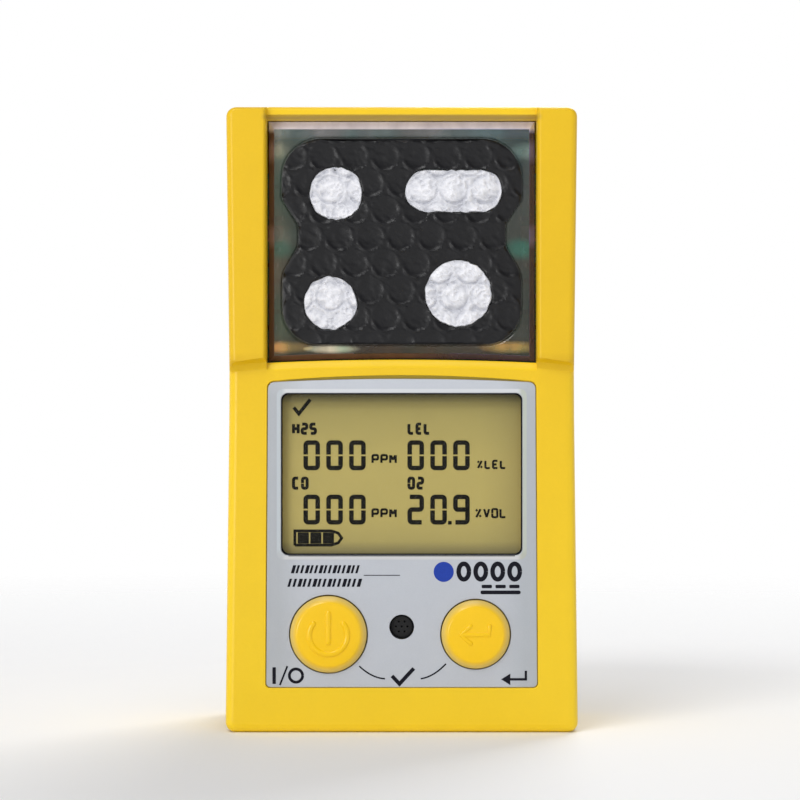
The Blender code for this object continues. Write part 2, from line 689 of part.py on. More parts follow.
def make_lead(start, end):
    """Battery lead: out of the pack's top, then forward into the socket."""
    up = start + Vector((0, 0, 2.6))
    back = end + Vector((0, 4.5, 0))
    count = 12
    curve = bpy.data.curves.new("battery_lead", "CURVE")
    curve.dimensions = "3D"
    curve.bevel_depth = 0.9 * MM
    curve.bevel_resolution = 2
    curve.use_fill_caps = True
    spline = curve.splines.new("POLY")
    spline.points.add(count - 1)
    for i, point in enumerate(spline.points):
        t = i / (count - 1)
        s = 1 - t
        where = s ** 3 * start + 3 * s * s * t * up + 3 * s * t * t * back + t ** 3 * end
        point.co = (*(where * MM), 1.0)
    lead = bpy.data.objects.new("battery_lead", curve)
    bpy.context.scene.collection.objects.link(lead)
    paint(lead, "black_rubber")


def make_vibration_motor():
    """Motor can in a rubber holder, with an eccentric weight on its shaft."""
    can = turned_x(MOTOR_Y, MOTOR_Z, [(-12.0, 2.6), (-11.6, MOTOR_RADIUS), (0.0, MOTOR_RADIUS)], 20)
    motor = piece("vibration_motor", can, "steel")
    cut(motor, turned_x(MOTOR_Y, MOTOR_Z, [(-1.4, 0.75), (OVER, 0.75)], 12))
    axis = (0.0, MOTOR_Y, MOTOR_Z)
    shaft = turned_x(MOTOR_Y, MOTOR_Z, [(-1.1, 0.5), (4.6, 0.5)], 12)
    weight = piece("motor_weight", shaft, "steel", origin=axis)
    half_disc = [(MOTOR_Y + 2.8 * math.cos(math.radians(a)), MOTOR_Z + 2.8 * math.sin(math.radians(a)))
                 for a in range(170, 371, 20)]
    half_disc += [(MOTOR_Y + 1.2, MOTOR_Z + 0.9), (MOTOR_Y - 1.2, MOTOR_Z + 0.9)]
    add(weight, side_slab(half_disc, 0.6, 4.2))
    block = side_slab(rectangle(BOARD_BACK_Y + 0.2, MOTOR_Y + 4.2, MOTOR_Z - 4.2, MOTOR_Z + 4.2, 1.0, 2),
                      -10.0, -3.0)
    holder = piece("motor_holder", block, "black_rubber")
    cut(holder, turned_x(MOTOR_Y, MOTOR_Z, [(-11.0, MOTOR_RADIUS + 0.15), (-2.0, MOTOR_RADIUS + 0.15)], 20))


# --------------------------------------------------------------- back side

def make_charge_contacts():
    """Two round contacts through the lower back."""
    for name, x in (("left", -8.0), ("right", 8.0)):
        profile = [(13.1, 2.7), (13.95, 2.7), (13.95, 1.8), (16.2, 1.8), (16.4, 1.55)]
        piece(f"charge_contact_{name}", turned(x, 9.0, profile, 20), "gold")


def make_rear_label():
    """Blank rating plate in the back's recess."""
    sheet = slab(rectangle(-16.75, 16.75, 17.25, 49.75, 1.3), BACK_Y - 0.25, BACK_Y + 0.05)
    piece("rear_label", sheet, "grey_label")


def make_clip_plate():
    """Base of the belt clip with the two ears that hold the pin."""
    front, back = CLIP_PLATE_Y
    outline = rectangle(-CLIP_HALF, CLIP_HALF, CLIP_LOW, CLIP_HIGH, 3.0)
    plate = piece("clip_plate", slab(outline, front, back), "steel")
    for side in (-1, 1):
        ear = rectangle(front + 0.6, PIN_Y + 2.5, PIN_Z - 2.5, PIN_Z + 2.5, 2.3)
        sides = sorted((side * 8.0, side * 9.2))
        add(plate, side_slab(ear, *sides))
        cut(plate, turned_x(PIN_Y, PIN_Z, [(sides[0] - OVER, PIN_RADIUS + 0.15),
                                           (sides[1] + OVER, PIN_RADIUS + 0.15)]))
    for z in CLIP_SCREW_ZS:
        cut(plate, turned(0.0, z, [(front - OVER, 1.15), (front + 0.4, 1.15), (back, 2.25),
                                   (back + OVER, 2.25)], 16))


def make_clip_lever():
    """Sprung lever: thumb tab above the pin, jaw below it."""
    path = bent_path([(27.6, 99.0), (25.2, 88.0), (23.9, 66.5), (19.25, 59.0), (20.9, 55.6)], 1.6)
    axis = (0.0, PIN_Y, PIN_Z)
    lever = piece("clip_lever", side_slab(strip(path, LEVER_THICK), -LEVER_HALF, LEVER_HALF), "steel",
                  origin=axis)
    for side in (-1, 1):
        tab = rectangle(PIN_Y - 2.5, 24.9, PIN_Z - 2.5, PIN_Z + 2.5, 2.3)
        sides = sorted((side * 6.2, side * (LEVER_HALF - 0.05)))
        add(lever, side_slab(tab, *sides))
        cut(lever, turned_x(PIN_Y, PIN_Z, [(sides[0] - OVER, PIN_RADIUS + 0.15),
                                           (sides[1] + OVER, PIN_RADIUS + 0.15)]))


def make_clip_hardware():
    """Hinge pin, spring sleeve and the two flat-head screws of the clip."""
    pin = turned_x(PIN_Y, PIN_Z, [(-10.3, 1.4), (-10.1, 1.7), (-9.5, 1.7), (-9.5, PIN_RADIUS),
                                  (9.5, PIN_RADIUS), (9.5, 1.7), (10.1, 1.7), (10.3, 1.4)])
    piece("clip_pin", pin, "steel")
    coil = turned_x(PIN_Y, PIN_Z, [(-5.8, 2.3), (5.8, 2.3), (5.8, 1.35), (-5.8, 1.35)], 20, closed=True)
    piece("clip_spring", coil, "steel")
    for name, z in zip(("lower", "upper"), CLIP_SCREW_ZS):
        profile = [(11.6, 0.5), (12.0, 0.8), (CLIP_PLATE_Y[0] + 0.45, 0.8),
                   (CLIP_PLATE_Y[1] - 0.1, 2.0), (CLIP_PLATE_Y[1] - 0.02, 1.9)]
        screw = piece(f"clip_screw_{name}", turned(0.0, z, profile, 16), "steel")
        cut(screw, slab(circle(0.0, z, 0.8, 6), CLIP_PLATE_Y[1] - 0.8, CLIP_PLATE_Y[1] + OVER))


# ------------------------------------------------------------------- build

def main():
    for obj in list(bpy.data.objects):
        bpy.data.objects.remove(obj)
    make_front_case()
    make_rear_case()
    make_case_seal()
    make_case_screws()
    make_window_cover()
    make_barrier()
    make_sensors()
    make_alarm_leds()
    make_front_label()
    make_display()
    make_button("power", *POWER)
    make_button("enter", *ENTER)
    make_sounder()
    make_boards()
    make_battery()
    make_vibration_motor()
    make_charge_contacts()
    make_rear_label()
    make_clip_plate()
    make_clip_lever()
    make_clip_hardware()


main()
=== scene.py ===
"""Looks of the portable gas detector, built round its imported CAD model.

Frame: X to the right as seen from the front, the front faces -Y, Z up, with the
origin on the flat bottom end. Shapes are written in millimetres and become
metres when a mesh is made.
"""

import json
import math

import bmesh
import bpy
import numpy as np
from mathutils import Matrix, Vector, geometry, noise

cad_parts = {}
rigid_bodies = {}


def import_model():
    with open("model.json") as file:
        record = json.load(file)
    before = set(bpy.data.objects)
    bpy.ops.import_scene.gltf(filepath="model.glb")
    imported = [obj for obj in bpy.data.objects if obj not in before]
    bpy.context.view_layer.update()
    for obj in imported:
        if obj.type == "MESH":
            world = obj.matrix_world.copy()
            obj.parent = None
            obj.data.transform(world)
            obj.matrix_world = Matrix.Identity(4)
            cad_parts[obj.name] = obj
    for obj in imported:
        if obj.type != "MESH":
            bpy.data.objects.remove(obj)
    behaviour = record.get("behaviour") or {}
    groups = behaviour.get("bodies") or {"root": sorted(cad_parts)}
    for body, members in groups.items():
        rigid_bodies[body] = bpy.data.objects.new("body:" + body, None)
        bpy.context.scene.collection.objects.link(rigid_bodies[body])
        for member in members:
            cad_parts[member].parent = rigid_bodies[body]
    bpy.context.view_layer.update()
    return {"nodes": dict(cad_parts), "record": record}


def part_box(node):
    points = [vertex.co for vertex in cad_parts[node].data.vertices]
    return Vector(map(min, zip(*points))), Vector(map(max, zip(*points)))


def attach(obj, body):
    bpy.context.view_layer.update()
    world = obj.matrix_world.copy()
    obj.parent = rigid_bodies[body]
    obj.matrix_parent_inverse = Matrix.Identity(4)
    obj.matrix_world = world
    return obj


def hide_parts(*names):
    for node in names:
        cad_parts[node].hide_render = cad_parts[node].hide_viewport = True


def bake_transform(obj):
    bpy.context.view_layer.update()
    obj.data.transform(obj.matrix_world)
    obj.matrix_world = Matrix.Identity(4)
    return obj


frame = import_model()

MM = 0.001
OVER = 1.0              # how far a cutting shape runs past the wall it cuts
WHITE = (1.0, 1.0, 1.0)
GASES = ("h2s", "lel", "co", "o2")
BUTTONS = ("power_button", "enter_button")
CLIP_SCREWS = ("clip_screw_lower", "clip_screw_upper")
BODIES = frame["record"]["behaviour"]["bodies"]
BODY_OF = {node: body for body, nodes in BODIES.items() for node in nodes}
SLOT_OF = {part["node"]: part["material_slot"] for part in frame["record"]["subparts"]}


def span(node):
    """Lowest and highest corner of a CAD node, in millimetres."""
    low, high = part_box(node)
    return low / MM, high / MM


def middle(node):
    """Centre of a CAD node's box, in millimetres."""
    low, high = span(node)
    return (low + high) / 2


# Case
HEIGHT = span("front_case")[1].z
BOTTOM_HALF = 31.0
WAIST_HALF = 30.25
TOP_HALF = 30.8
WAIST_Z = 62.5
WAIST_ROUND = 900.0     # radius where the sides bend at the waist
CORNER = 2.0
LEAST_CORNER = 0.8
DRAFT = 0.25
WALL = 2.4
TOP_WALL = 1.4
RAIL_Y = span("front_case")[0].y
FRONT_Y = RAIL_Y + 2.0
BACK_Y = span("rear_case")[1].y
SEAM_FRONT_Y = span("front_case")[1].y
SEAM_BACK_Y = span("rear_case")[0].y
SEAM_ROUND = 0.25
LIP_INSET = 1.52
INNER_FRONT_Y = FRONT_Y + 2.5
INNER_BACK_Y = BACK_Y - 2.3
FRONT_ROUND = 1.6
RIM_SHARE = 0.45        # how far the top edge is rounded, as a share of the sides' round
BACK_ROUND = 2.5
RAIL_INNER = 23.48
RAIL_ROUND = 1.2
RAIL_FOOT_INNER = 63.4
RAIL_FOOT_OUTER = 62.7
RAIL_RAMP = 2.2

# Window
COVER_LOW, COVER_HIGH = span("window_cover")
WINDOW_HALF = 23.5
WINDOW_TOP = 107.5
WINDOW_LOW = 64.1
WINDOW_ARCH = 0.55
BARRIER_LOW, BARRIER_HIGH = span("sensor_barrier")
DIMPLE_PITCH = 5.4

# Label, display, buttons
LABEL_LOW, LABEL_HIGH = span("front_label")
LABEL_ARCH = 0.6
RECESS_ARCH = 1.1
RECESS_FLOOR_Y = LABEL_LOW.y + 0.55
LENS_LOW, LENS_HIGH = span("display_lens")
LENS_MARGIN = 1.6
LCD_LOW, LCD_HIGH = span("lcd_panel")
LCD_FACE = LCD_LOW.y + 0.02
CAP_CLEARANCE = 0.35    # round a cap in the case's wall
CAP_GAP = 0.2           # round a cap in the label
CAP_FLANGE = 1.5        # how far a cap's flange stands out behind the wall
PORT = middle("sounder_screen")
PORT_RADIUS = 2.15
MOUTH = 0.22            # round on the edge of an opening
PRINT_LIFT = 0.02

# Belt clip
PLATE_LOW, PLATE_HIGH = span("clip_plate")
PLATE_THICK = 1.4
EAR_INNER = 8.0
EAR_OUTER = 9.2
PIN = middle("clip_pin")
PIN_HOLE = 1.22
PIN_RADIUS = 1.1
EYE_RADIUS = 2.5        # round end of the ears and tabs that hold the pin


# ---------------------------------------------------------------- outlines

def fillet(corners, radii, steps=8):
    """Closed outline through the corners, each rounded; a radius of 0 keeps the point."""
    outline = []
    for i, corner in enumerate(corners):
        here = Vector(corner)
        if radii[i] == 0:
            outline.append(tuple(here))
            continue
        before = (Vector(corners[i - 1]) - here).normalized()
        after = (Vector(corners[(i + 1) % len(corners)]) - here).normalized()
        half = before.angle(after) / 2
        centre = here + (before + after).normalized() * radii[i] / math.sin(half)
        start = here + before * radii[i] / math.tan(half) - centre
        end = here + after * radii[i] / math.tan(half) - centre
        first = math.atan2(start.y, start.x)
        sweep = (math.atan2(end.y, end.x) - first + math.pi) % (2 * math.pi) - math.pi
        for step in range(steps + 1):
            angle = first + sweep * step / steps
            outline.append(tuple(centre + Vector((math.cos(angle), math.sin(angle))) * radii[i]))
    return outline


def bent(points, radius, steps=5):
    """Open path with its inner corners rounded."""
    return fillet(points, [0] + [radius] * (len(points) - 2) + [0], steps)


def rectangle(low_x, high_x, low_z, high_z, radius=0.0, steps=8):
    """Rectangle with rounded corners."""
    corners = [(low_x, low_z), (high_x, low_z), (high_x, high_z), (low_x, high_z)]
    return fillet(corners, [radius] * 4, steps)


def circle(centre_x, centre_z, radius, steps=64):
    """Round outline."""
    turn = 2 * math.pi / steps
    return [(centre_x + radius * math.cos(turn * i), centre_z + radius * math.sin(turn * i))
            for i in range(steps)]


def arch(half, end_z, rise, steps=16):
    """Shallow arch from left to right."""
    points = []
    for i in range(steps + 1):
        along = 2 * i / steps - 1
        points.append((half * along, end_z + rise * (1 - along * along)))
    return points


def case_outline(side, low, high):
    """Front view of the case, its sides, bottom and top moved in."""
    bottom = BOTTOM_HALF - side
    waist = WAIST_HALF - side
    top = TOP_HALF - side
    corners = [(-bottom, low), (bottom, low), (waist, WAIST_Z),
               (top, HEIGHT - high), (-top, HEIGHT - high), (-waist, WAIST_Z)]
    radius = max(CORNER - side, LEAST_CORNER)
    return fillet(corners, [radius, radius, WAIST_ROUND, radius, radius, WAIST_ROUND])


def window_outline(side, low, high):
    """Opening between the rails, its sides, bottom and top moved in."""
    half = WINDOW_HALF - side
    top = WINDOW_TOP - high
    return arch(half, WINDOW_LOW + low, WINDOW_ARCH) + [(half, top), (-half, top)]


def label_outline(grow, rise=LABEL_ARCH):
    """Front label or its recess: straight sides, a shallow arch on top."""
    low_half = LABEL_HIGH.x + grow
    high_half = low_half - 0.3
    base = LABEL_LOW.z - grow
    top = arch(high_half, LABEL_HIGH.z - LABEL_ARCH + grow, rise, 12)
    corners = [(-low_half, base), (low_half, base)] + top[::-1]
    return fillet(corners, [0.8, 0.8, 1.2] + [0] * (len(top) - 2) + [1.2])


def framed(low, high, grow, radius, steps=8):
    """Rounded rectangle round the box from low to high in the front view."""
    return rectangle(low.x - grow, high.x + grow, low.z - grow, high.z + grow, radius, steps)


def view_outline(grow):
    """Opening for the display, taken from the lens that lies under its edge."""
    return framed(LENS_LOW, LENS_HIGH, grow - LENS_MARGIN, 1.2)


def barrier_outline(grow):
    """Figure of two lobes with a waist between them."""
    right = [(20.8, 67.6, 6.5), (20.8, 80.0, 6.0), (18.0, 84.8, 2.5),
             (18.0, 88.6, 1.5), (20.9, 93.0, 3.0), (20.9, 103.5, 7.0)]
    low = right[0][1]
    high = right[-1][1]
    corners = []
    radii = []
    for x, z, radius in right + [(-x, z, r) for x, z, r in right[::-1]]:
        shift = -grow if z == low else grow if z == high else 0.0
        corners.append((x + math.copysign(grow, x), z + shift))
        radii.append(radius)
    return fillet(corners, radii, 10)


def opening(name, grow=0.0):
    """Outline of one gas opening, from its membrane's box; a long one has half-round ends."""
    low, high = span(f"{name}_membrane")
    centre = (low + high) / 2
    half_x = high.x - centre.x + grow
    half_z = high.z - centre.z + grow
    if half_x < half_z + 0.5:
        return circle(centre.x, centre.z, half_z)
    return framed(low, high, grow, half_z - 0.02, 16)


def ribbon(path, width):
    """Outline of a band of even width along an open path."""
    left = []
    right = []
    for i, point in enumerate(path):
        here = Vector(point)
        before = (here - Vector(path[i - 1])).normalized() if i else None
        after = (Vector(path[i + 1]) - here).normalized() if i < len(path) - 1 else None
        along = ((before or after) + (after or before)).normalized()
        reach = width / 2 / max(along.dot(after or before), 0.3)
        across = Vector((-along.y, along.x)) * reach
        left.append(tuple(here + across))
        right.append(tuple(here - across))
    return left + right[::-1]


# ------------------------------------------------------------------ shapes

def at_y(outline, y):
    """Ring in the plane of the given depth."""
    return [(x, y, z) for x, z in outline]


def loft(rings, closed=False):
    """Skin over rings of equal length, filled at both ends unless it closes on itself."""
    bm = bmesh.new()
    loops = [[bm.verts.new(point) for point in ring] for ring in rings]
    pairs = list(zip(loops, loops[1:]))
    if closed:
        pairs.append((loops[-1], loops[0]))
    for near, far in pairs:
        for i in range(len(near)):
            j = (i + 1) % len(near)
            bm.faces.new((near[i], near[j], far[j], far[i]))
    if not closed:
        bm.faces.new(loops[0])
        bm.faces.new(loops[-1])
    bmesh.ops.recalc_face_normals(bm, faces=bm.faces)
    return bm


def slab(outline, front_y, back_y):
    """Flat plate with the outline as its front view."""
    return loft([at_y(outline, front_y), at_y(outline, back_y)])


def quarter(steps):
    """Sine and cosine over a quarter turn."""
    for step in range(steps + 1):
        angle = math.pi / 2 * step / steps
        yield math.sin(angle), math.cos(angle)


def soft_slab(outline, front_y, back_y, front_round, back_round=0.0, steps=5):
    """Plate with rounded edges; outline(grow) gives its front view."""
    rings = [at_y(outline(-front_round * (1 - s)), front_y + front_round * (1 - c))
             for s, c in quarter(steps)]
    if back_round:
        rings += [at_y(outline(-back_round * (1 - c)), back_y - back_round * (1 - s))
                  for s, c in quarter(steps)]
    else:
        rings.append(at_y(outline(0.0), back_y))
    return loft(rings)


def soft_box(x0, x1, y0, y1, z0, z1, radius=0.15, corner=0.3):
    """Block with rounded edges."""
    def outline(grow):
        return rectangle(x0 - grow, x1 + grow, z0 - grow, z1 + grow, max(corner + grow, 0.02), 3)
    return soft_slab(outline, y0, y1, radius, radius, 3)


def mouth(outline, face_y, end_y, edge=MOUTH, steps=5):
    """Cutting shape whose opening has a rounded edge; it starts at the face and ends at end_y."""
    inward = math.copysign(1.0, end_y - face_y)
    rings = [at_y(outline(edge * 1.05), face_y - inward * OVER * 0.1)]
    for s, c in list(quarter(steps))[1:]:
        rings.append(at_y(outline(edge * (1 - s)), face_y + inward * edge * (1 - c)))
    rings.append(at_y(outline(0.0), end_y))
    return loft(rings)


def round_mouth(x, z, radius, face_y, end_y, edge=MOUTH, steps=5, sides=64):
    """Round cutting shape whose opening has a rounded edge."""
    return mouth(lambda grow: circle(x, z, radius + grow, sides), face_y, end_y, edge, steps)


def band(outer, inner, front_y, back_y):
    """Plate ring between two outlines of equal length."""
    rings = [at_y(outer, front_y), at_y(outer, back_y), at_y(inner, back_y), at_y(inner, front_y)]
    return loft(rings, closed=True)


def rounded_end(end, radius, edge, steps):
    """Profile of a round edge: places along the axis up to its end, each with its radius."""
    return [(end - edge + edge * s, radius - edge * (1 - c)) for s, c in quarter(steps)]


def turned(x, z, profile, steps=64):
    """Round piece about an axis along Y; the profile lists depth and radius."""
    return loft([at_y(circle(x, z, radius, steps), y) for y, radius in profile])


def turned_x(y, z, profile):
    """Round piece about an axis along X; the profile lists x and radius."""
    return loft([[(x, a, b) for a, b in circle(y, z, radius, 40)] for x, radius in profile])


def tube(points, radius, sides, tip):
    """Round bar along the points, its ends rounded over the length of the tip."""
    path = [Vector(p) for p in points]
    first = (path[0] - path[1]).normalized()
    last = (path[-1] - path[-2]).normalized()
    start = [path[0] + first * tip * k for k in (0.98, 0.7)]
    end = [path[-1] + last * tip * k for k in (0.7, 0.98)]
    radii = [radius * 0.3, radius * 0.75] + [radius] * len(path) + [radius * 0.75, radius * 0.3]
    path = start + path + end
    rings = []
    normal = (path[1] - path[0]).orthogonal().normalized()
    for i, here in enumerate(path):
        along = (path[min(i + 1, len(path) - 1)] - path[max(i - 1, 0)]).normalized()
        normal = (normal - along * normal.dot(along)).normalized()
        side = along.cross(normal)
        ring = []
        for k in range(sides):
            angle = 2 * math.pi * k / sides
            ring.append(here + (normal * math.cos(angle) + side * math.sin(angle)) * radii[i])
        rings.append(ring)
    return loft(rings)


def merge(shapes):
    """Several shapes as one mesh."""
    bm = bmesh.new()
    for shape in shapes:
        mesh = bpy.data.meshes.new("part")
        shape.to_mesh(mesh)
        shape.free()
        bm.from_mesh(mesh)
        bpy.data.meshes.remove(mesh)
    return bm


# ----------------------------------------------------------- embossed films

def from_dimple(x, z):
    """Distance from a point to the nearest dimple's centre, and how far it lies below that."""
    row_height = DIMPLE_PITCH * math.sqrt(3) / 2
    best = (DIMPLE_PITCH, 0.0)
    row = round((z - BARRIER_LOW.z) / row_height)
    for r in (row - 1, row, row + 1):
        shift = DIMPLE_PITCH / 2 * (r % 2)
        column = round((x - shift) / DIMPLE_PITCH)
        centre_x = column * DIMPLE_PITCH + shift
        centre_z = BARRIER_LOW.z + r * row_height
        best = min(best, (math.hypot(x - centre_x, z - centre_z), centre_z - z))
    return best


def emboss(x, z, depth, wrinkle, rim_width=0.26):
    """Height of the embossed film: round dimples with a raised rim, and soft wrinkles."""
    distance, below = from_dimple(x, z)
    rim_radius = DIMPLE_PITCH * 0.44
    lower_arc = 0.35 + 0.65 * max(0.0, below / rim_radius)
    rim = lower_arc * math.exp(-((distance - rim_radius) / rim_width) ** 2)
    dish = max(0.0, 1 - (distance / rim_radius) ** 2)
    creases = 0.0
    for scale, share in ((0.42, 0.6), (0.95, 0.4), (1.9, 0.22)):
        fold = noise.noise(Vector((x * scale, z * scale * 1.2, 7.0 * scale + wrinkle)))
        creases += share * (0.5 - 2 * abs(fold))
    return depth * (rim - 0.45 * dish) + wrinkle * creases


def torn(outline, centre):
    """Slightly uneven copy of an outline, moved in towards its centre by about 0.1 mm."""
    uneven = []
    for i, start in enumerate(outline):
        end = outline[(i + 1) % len(outline)]
        count = max(1, round(math.dist(start, end) / 0.4))
        for step in range(count):
            point = Vector(start).lerp(Vector(end), step / count)
            away = point - centre
            direction = away.normalized() * 3.0
            drift = noise.noise(Vector((direction.x + away.x * 0.5, direction.y, centre.x)))
            uneven.append(tuple(point - away.normalized() * 0.22 * (0.5 + drift)))
    return uneven


def inside(points, outline):
    """Which points lie inside the outline."""
    x = points[:, 0]
    z = points[:, 1]
    hit = np.zeros(len(points), bool)
    for (x0, z0), (x1, z1) in zip(outline, outline[1:] + outline[:1]):
        crosses = (z0 > z) != (z1 > z)
        if z0 != z1:
            hit ^= crosses & (x < (x1 - x0) * (z - z0) / (z1 - z0) + x0)
    return hit


def clearance(points, outline):
    """Distance from each point to the outline."""
    best = np.full(len(points), 1e9)
    for start, end in zip(outline, outline[1:] + outline[:1]):
        a = np.array(start)
        along = np.array(end) - a
        length = max(float(along @ along), 1e-12)
        share = np.clip((points - a) @ along / length, 0, 1)
        away = points - a - share[:, None] * along
        best = np.minimum(best, np.hypot(away[:, 0], away[:, 1]))
    return best


def film(outer, holes, front_y, back_y, height, step=0.32, edge=0.16):
    """Thin embossed plate: its front follows height(x, z), its edges are rounded down."""
    shores = [outer(0.0)] + [hole(0.0) for hole in holes]

    def on_film(points):
        held = inside(points, shores[0])
        for shore in shores[1:]:
            held &= ~inside(points, shore)
        return held

    low = np.min(shores[0], axis=0)
    high = np.max(shores[0], axis=0)
    across = np.arange(low[0], high[0], step)
    grid = np.array([(x, z) for z in np.arange(low[1], high[1], step) for x in across])
    keep = on_film(grid)
    for shore in shores:
        keep &= clearance(grid, shore) > edge * 1.8
    points = []
    edges = []
    for loop in shores + [outer(-edge)] + [hole(edge) for hole in holes]:
        first = len(points)
        points += loop
        edges += [(first + i, first + (i + 1) % len(loop)) for i in range(len(loop))]
    points += [tuple(p) for p in grid[keep]]
    mesh = geometry.delaunay_2d_cdt([Vector(p) for p in points], edges, [], 1, 1e-5)
    flat = np.array([tuple(v) for v in mesh[0]])
    faces = mesh[2]
    wanted = on_film(np.array([flat[list(face)].mean(axis=0) for face in faces]))
    away = np.min([clearance(flat, shore) for shore in shores], axis=0)
    bm = bmesh.new()
    front = []
    for (x, z), gap in zip(flat, away):
        share = min(gap / edge, 1.0)
        y = front_y + edge * 0.8 * (1 - share) - height(x, z) * share
        front.append(bm.verts.new((x, y, z)))
    for face, good in zip(faces, wanted):
        if good:
            bm.faces.new([front[i] for i in face])
    loose = [v for v in bm.verts if not v.link_faces]
    bmesh.ops.delete(bm, geom=loose, context="VERTS")
    rim = [e for e in bm.edges if len(e.link_faces) == 1]
    for item in bmesh.ops.extrude_edge_only(bm, edges=rim)["geom"]:
        if isinstance(item, bmesh.types.BMVert):
            item.co.y = back_y
    rim = [e for e in bm.edges if len(e.link_faces) == 1]
    bmesh.ops.triangle_fill(bm, use_beauty=True, edges=rim)
    bmesh.ops.recalc_face_normals(bm, faces=bm.faces)
    return bm


# ----------------------------------------------------------------- objects

def place(name, bm):
    """Object from a shape in millimetres."""
    bm.transform(Matrix.Scale(MM, 4))
    mesh = bpy.data.meshes.new(name)
    bm.to_mesh(mesh)
    bm.free()
    obj = bpy.data.objects.new(name, mesh)
    bpy.context.scene.collection.objects.link(obj)
    return obj


def settle(obj):
    """Replace the mesh by what its modifiers make of it."""
    graph = bpy.context.evaluated_depsgraph_get()
    mesh = bpy.data.meshes.new_from_object(obj.evaluated_get(graph))
    obj.modifiers.clear()
    obj.data = mesh


def combine(obj, operation, shapes):
    """Join or cut all the shapes at once, and keep the result."""
    group = bpy.data.collections.new("tools")
    bpy.context.scene.collection.children.link(group)
    for bm in shapes:
        tool = place("tool", bm)
        bpy.context.scene.collection.objects.unlink(tool)
        group.objects.link(tool)
    modifier = obj.modifiers.new("combine", "BOOLEAN")
    modifier.operation = operation
    modifier.solver = "EXACT"
    modifier.operand_type = "COLLECTION"
    modifier.collection = group
    settle(obj)
    for tool in list(group.objects):
        bpy.data.objects.remove(tool)
    bpy.data.collections.remove(group)


def cut(obj, *shapes):
    """Take shapes away from a piece."""
    combine(obj, "DIFFERENCE", shapes)


def add(obj, *shapes):
    """Grow shapes onto a piece."""
    combine(obj, "UNION", shapes)


def bevel(obj, width, angle):
    """Round the sharp edges of a piece."""
    modifier = obj.modifiers.new("bevel", "BEVEL")
    modifier.width = width * MM
    modifier.segments = 2
    modifier.limit_method = "ANGLE"
    modifier.angle_limit = math.radians(angle)
    modifier.use_clamp_overlap = True
    settle(obj)


def shade(obj, angle=32):
    """Smooth shading that keeps flat faces flat and sharp edges sharp."""
    obj.data.shade_smooth()
    obj.data.set_sharp_from_angle(angle=math.radians(angle))
    modifier = obj.modifiers.new("normals", "WEIGHTED_NORMAL")
    modifier.keep_sharp = True
    modifier.weight = 90


def stand_in(obj, node, finish):
    """Finished piece that is shown in a CAD node's place."""
    shade(obj)
    obj.data.materials.clear()
    obj.data.materials.append(FINISH[finish])
    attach(obj, BODY_OF[node])
    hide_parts(node)


def extra(name, bm, finish):
    """Small piece on the case that the CAD model leaves out."""
    obj = place(name, bm)
    shade(obj)
    obj.data.materials.append(FINISH[finish])
    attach(obj, "case")


# --------------------------------------------------------------- materials

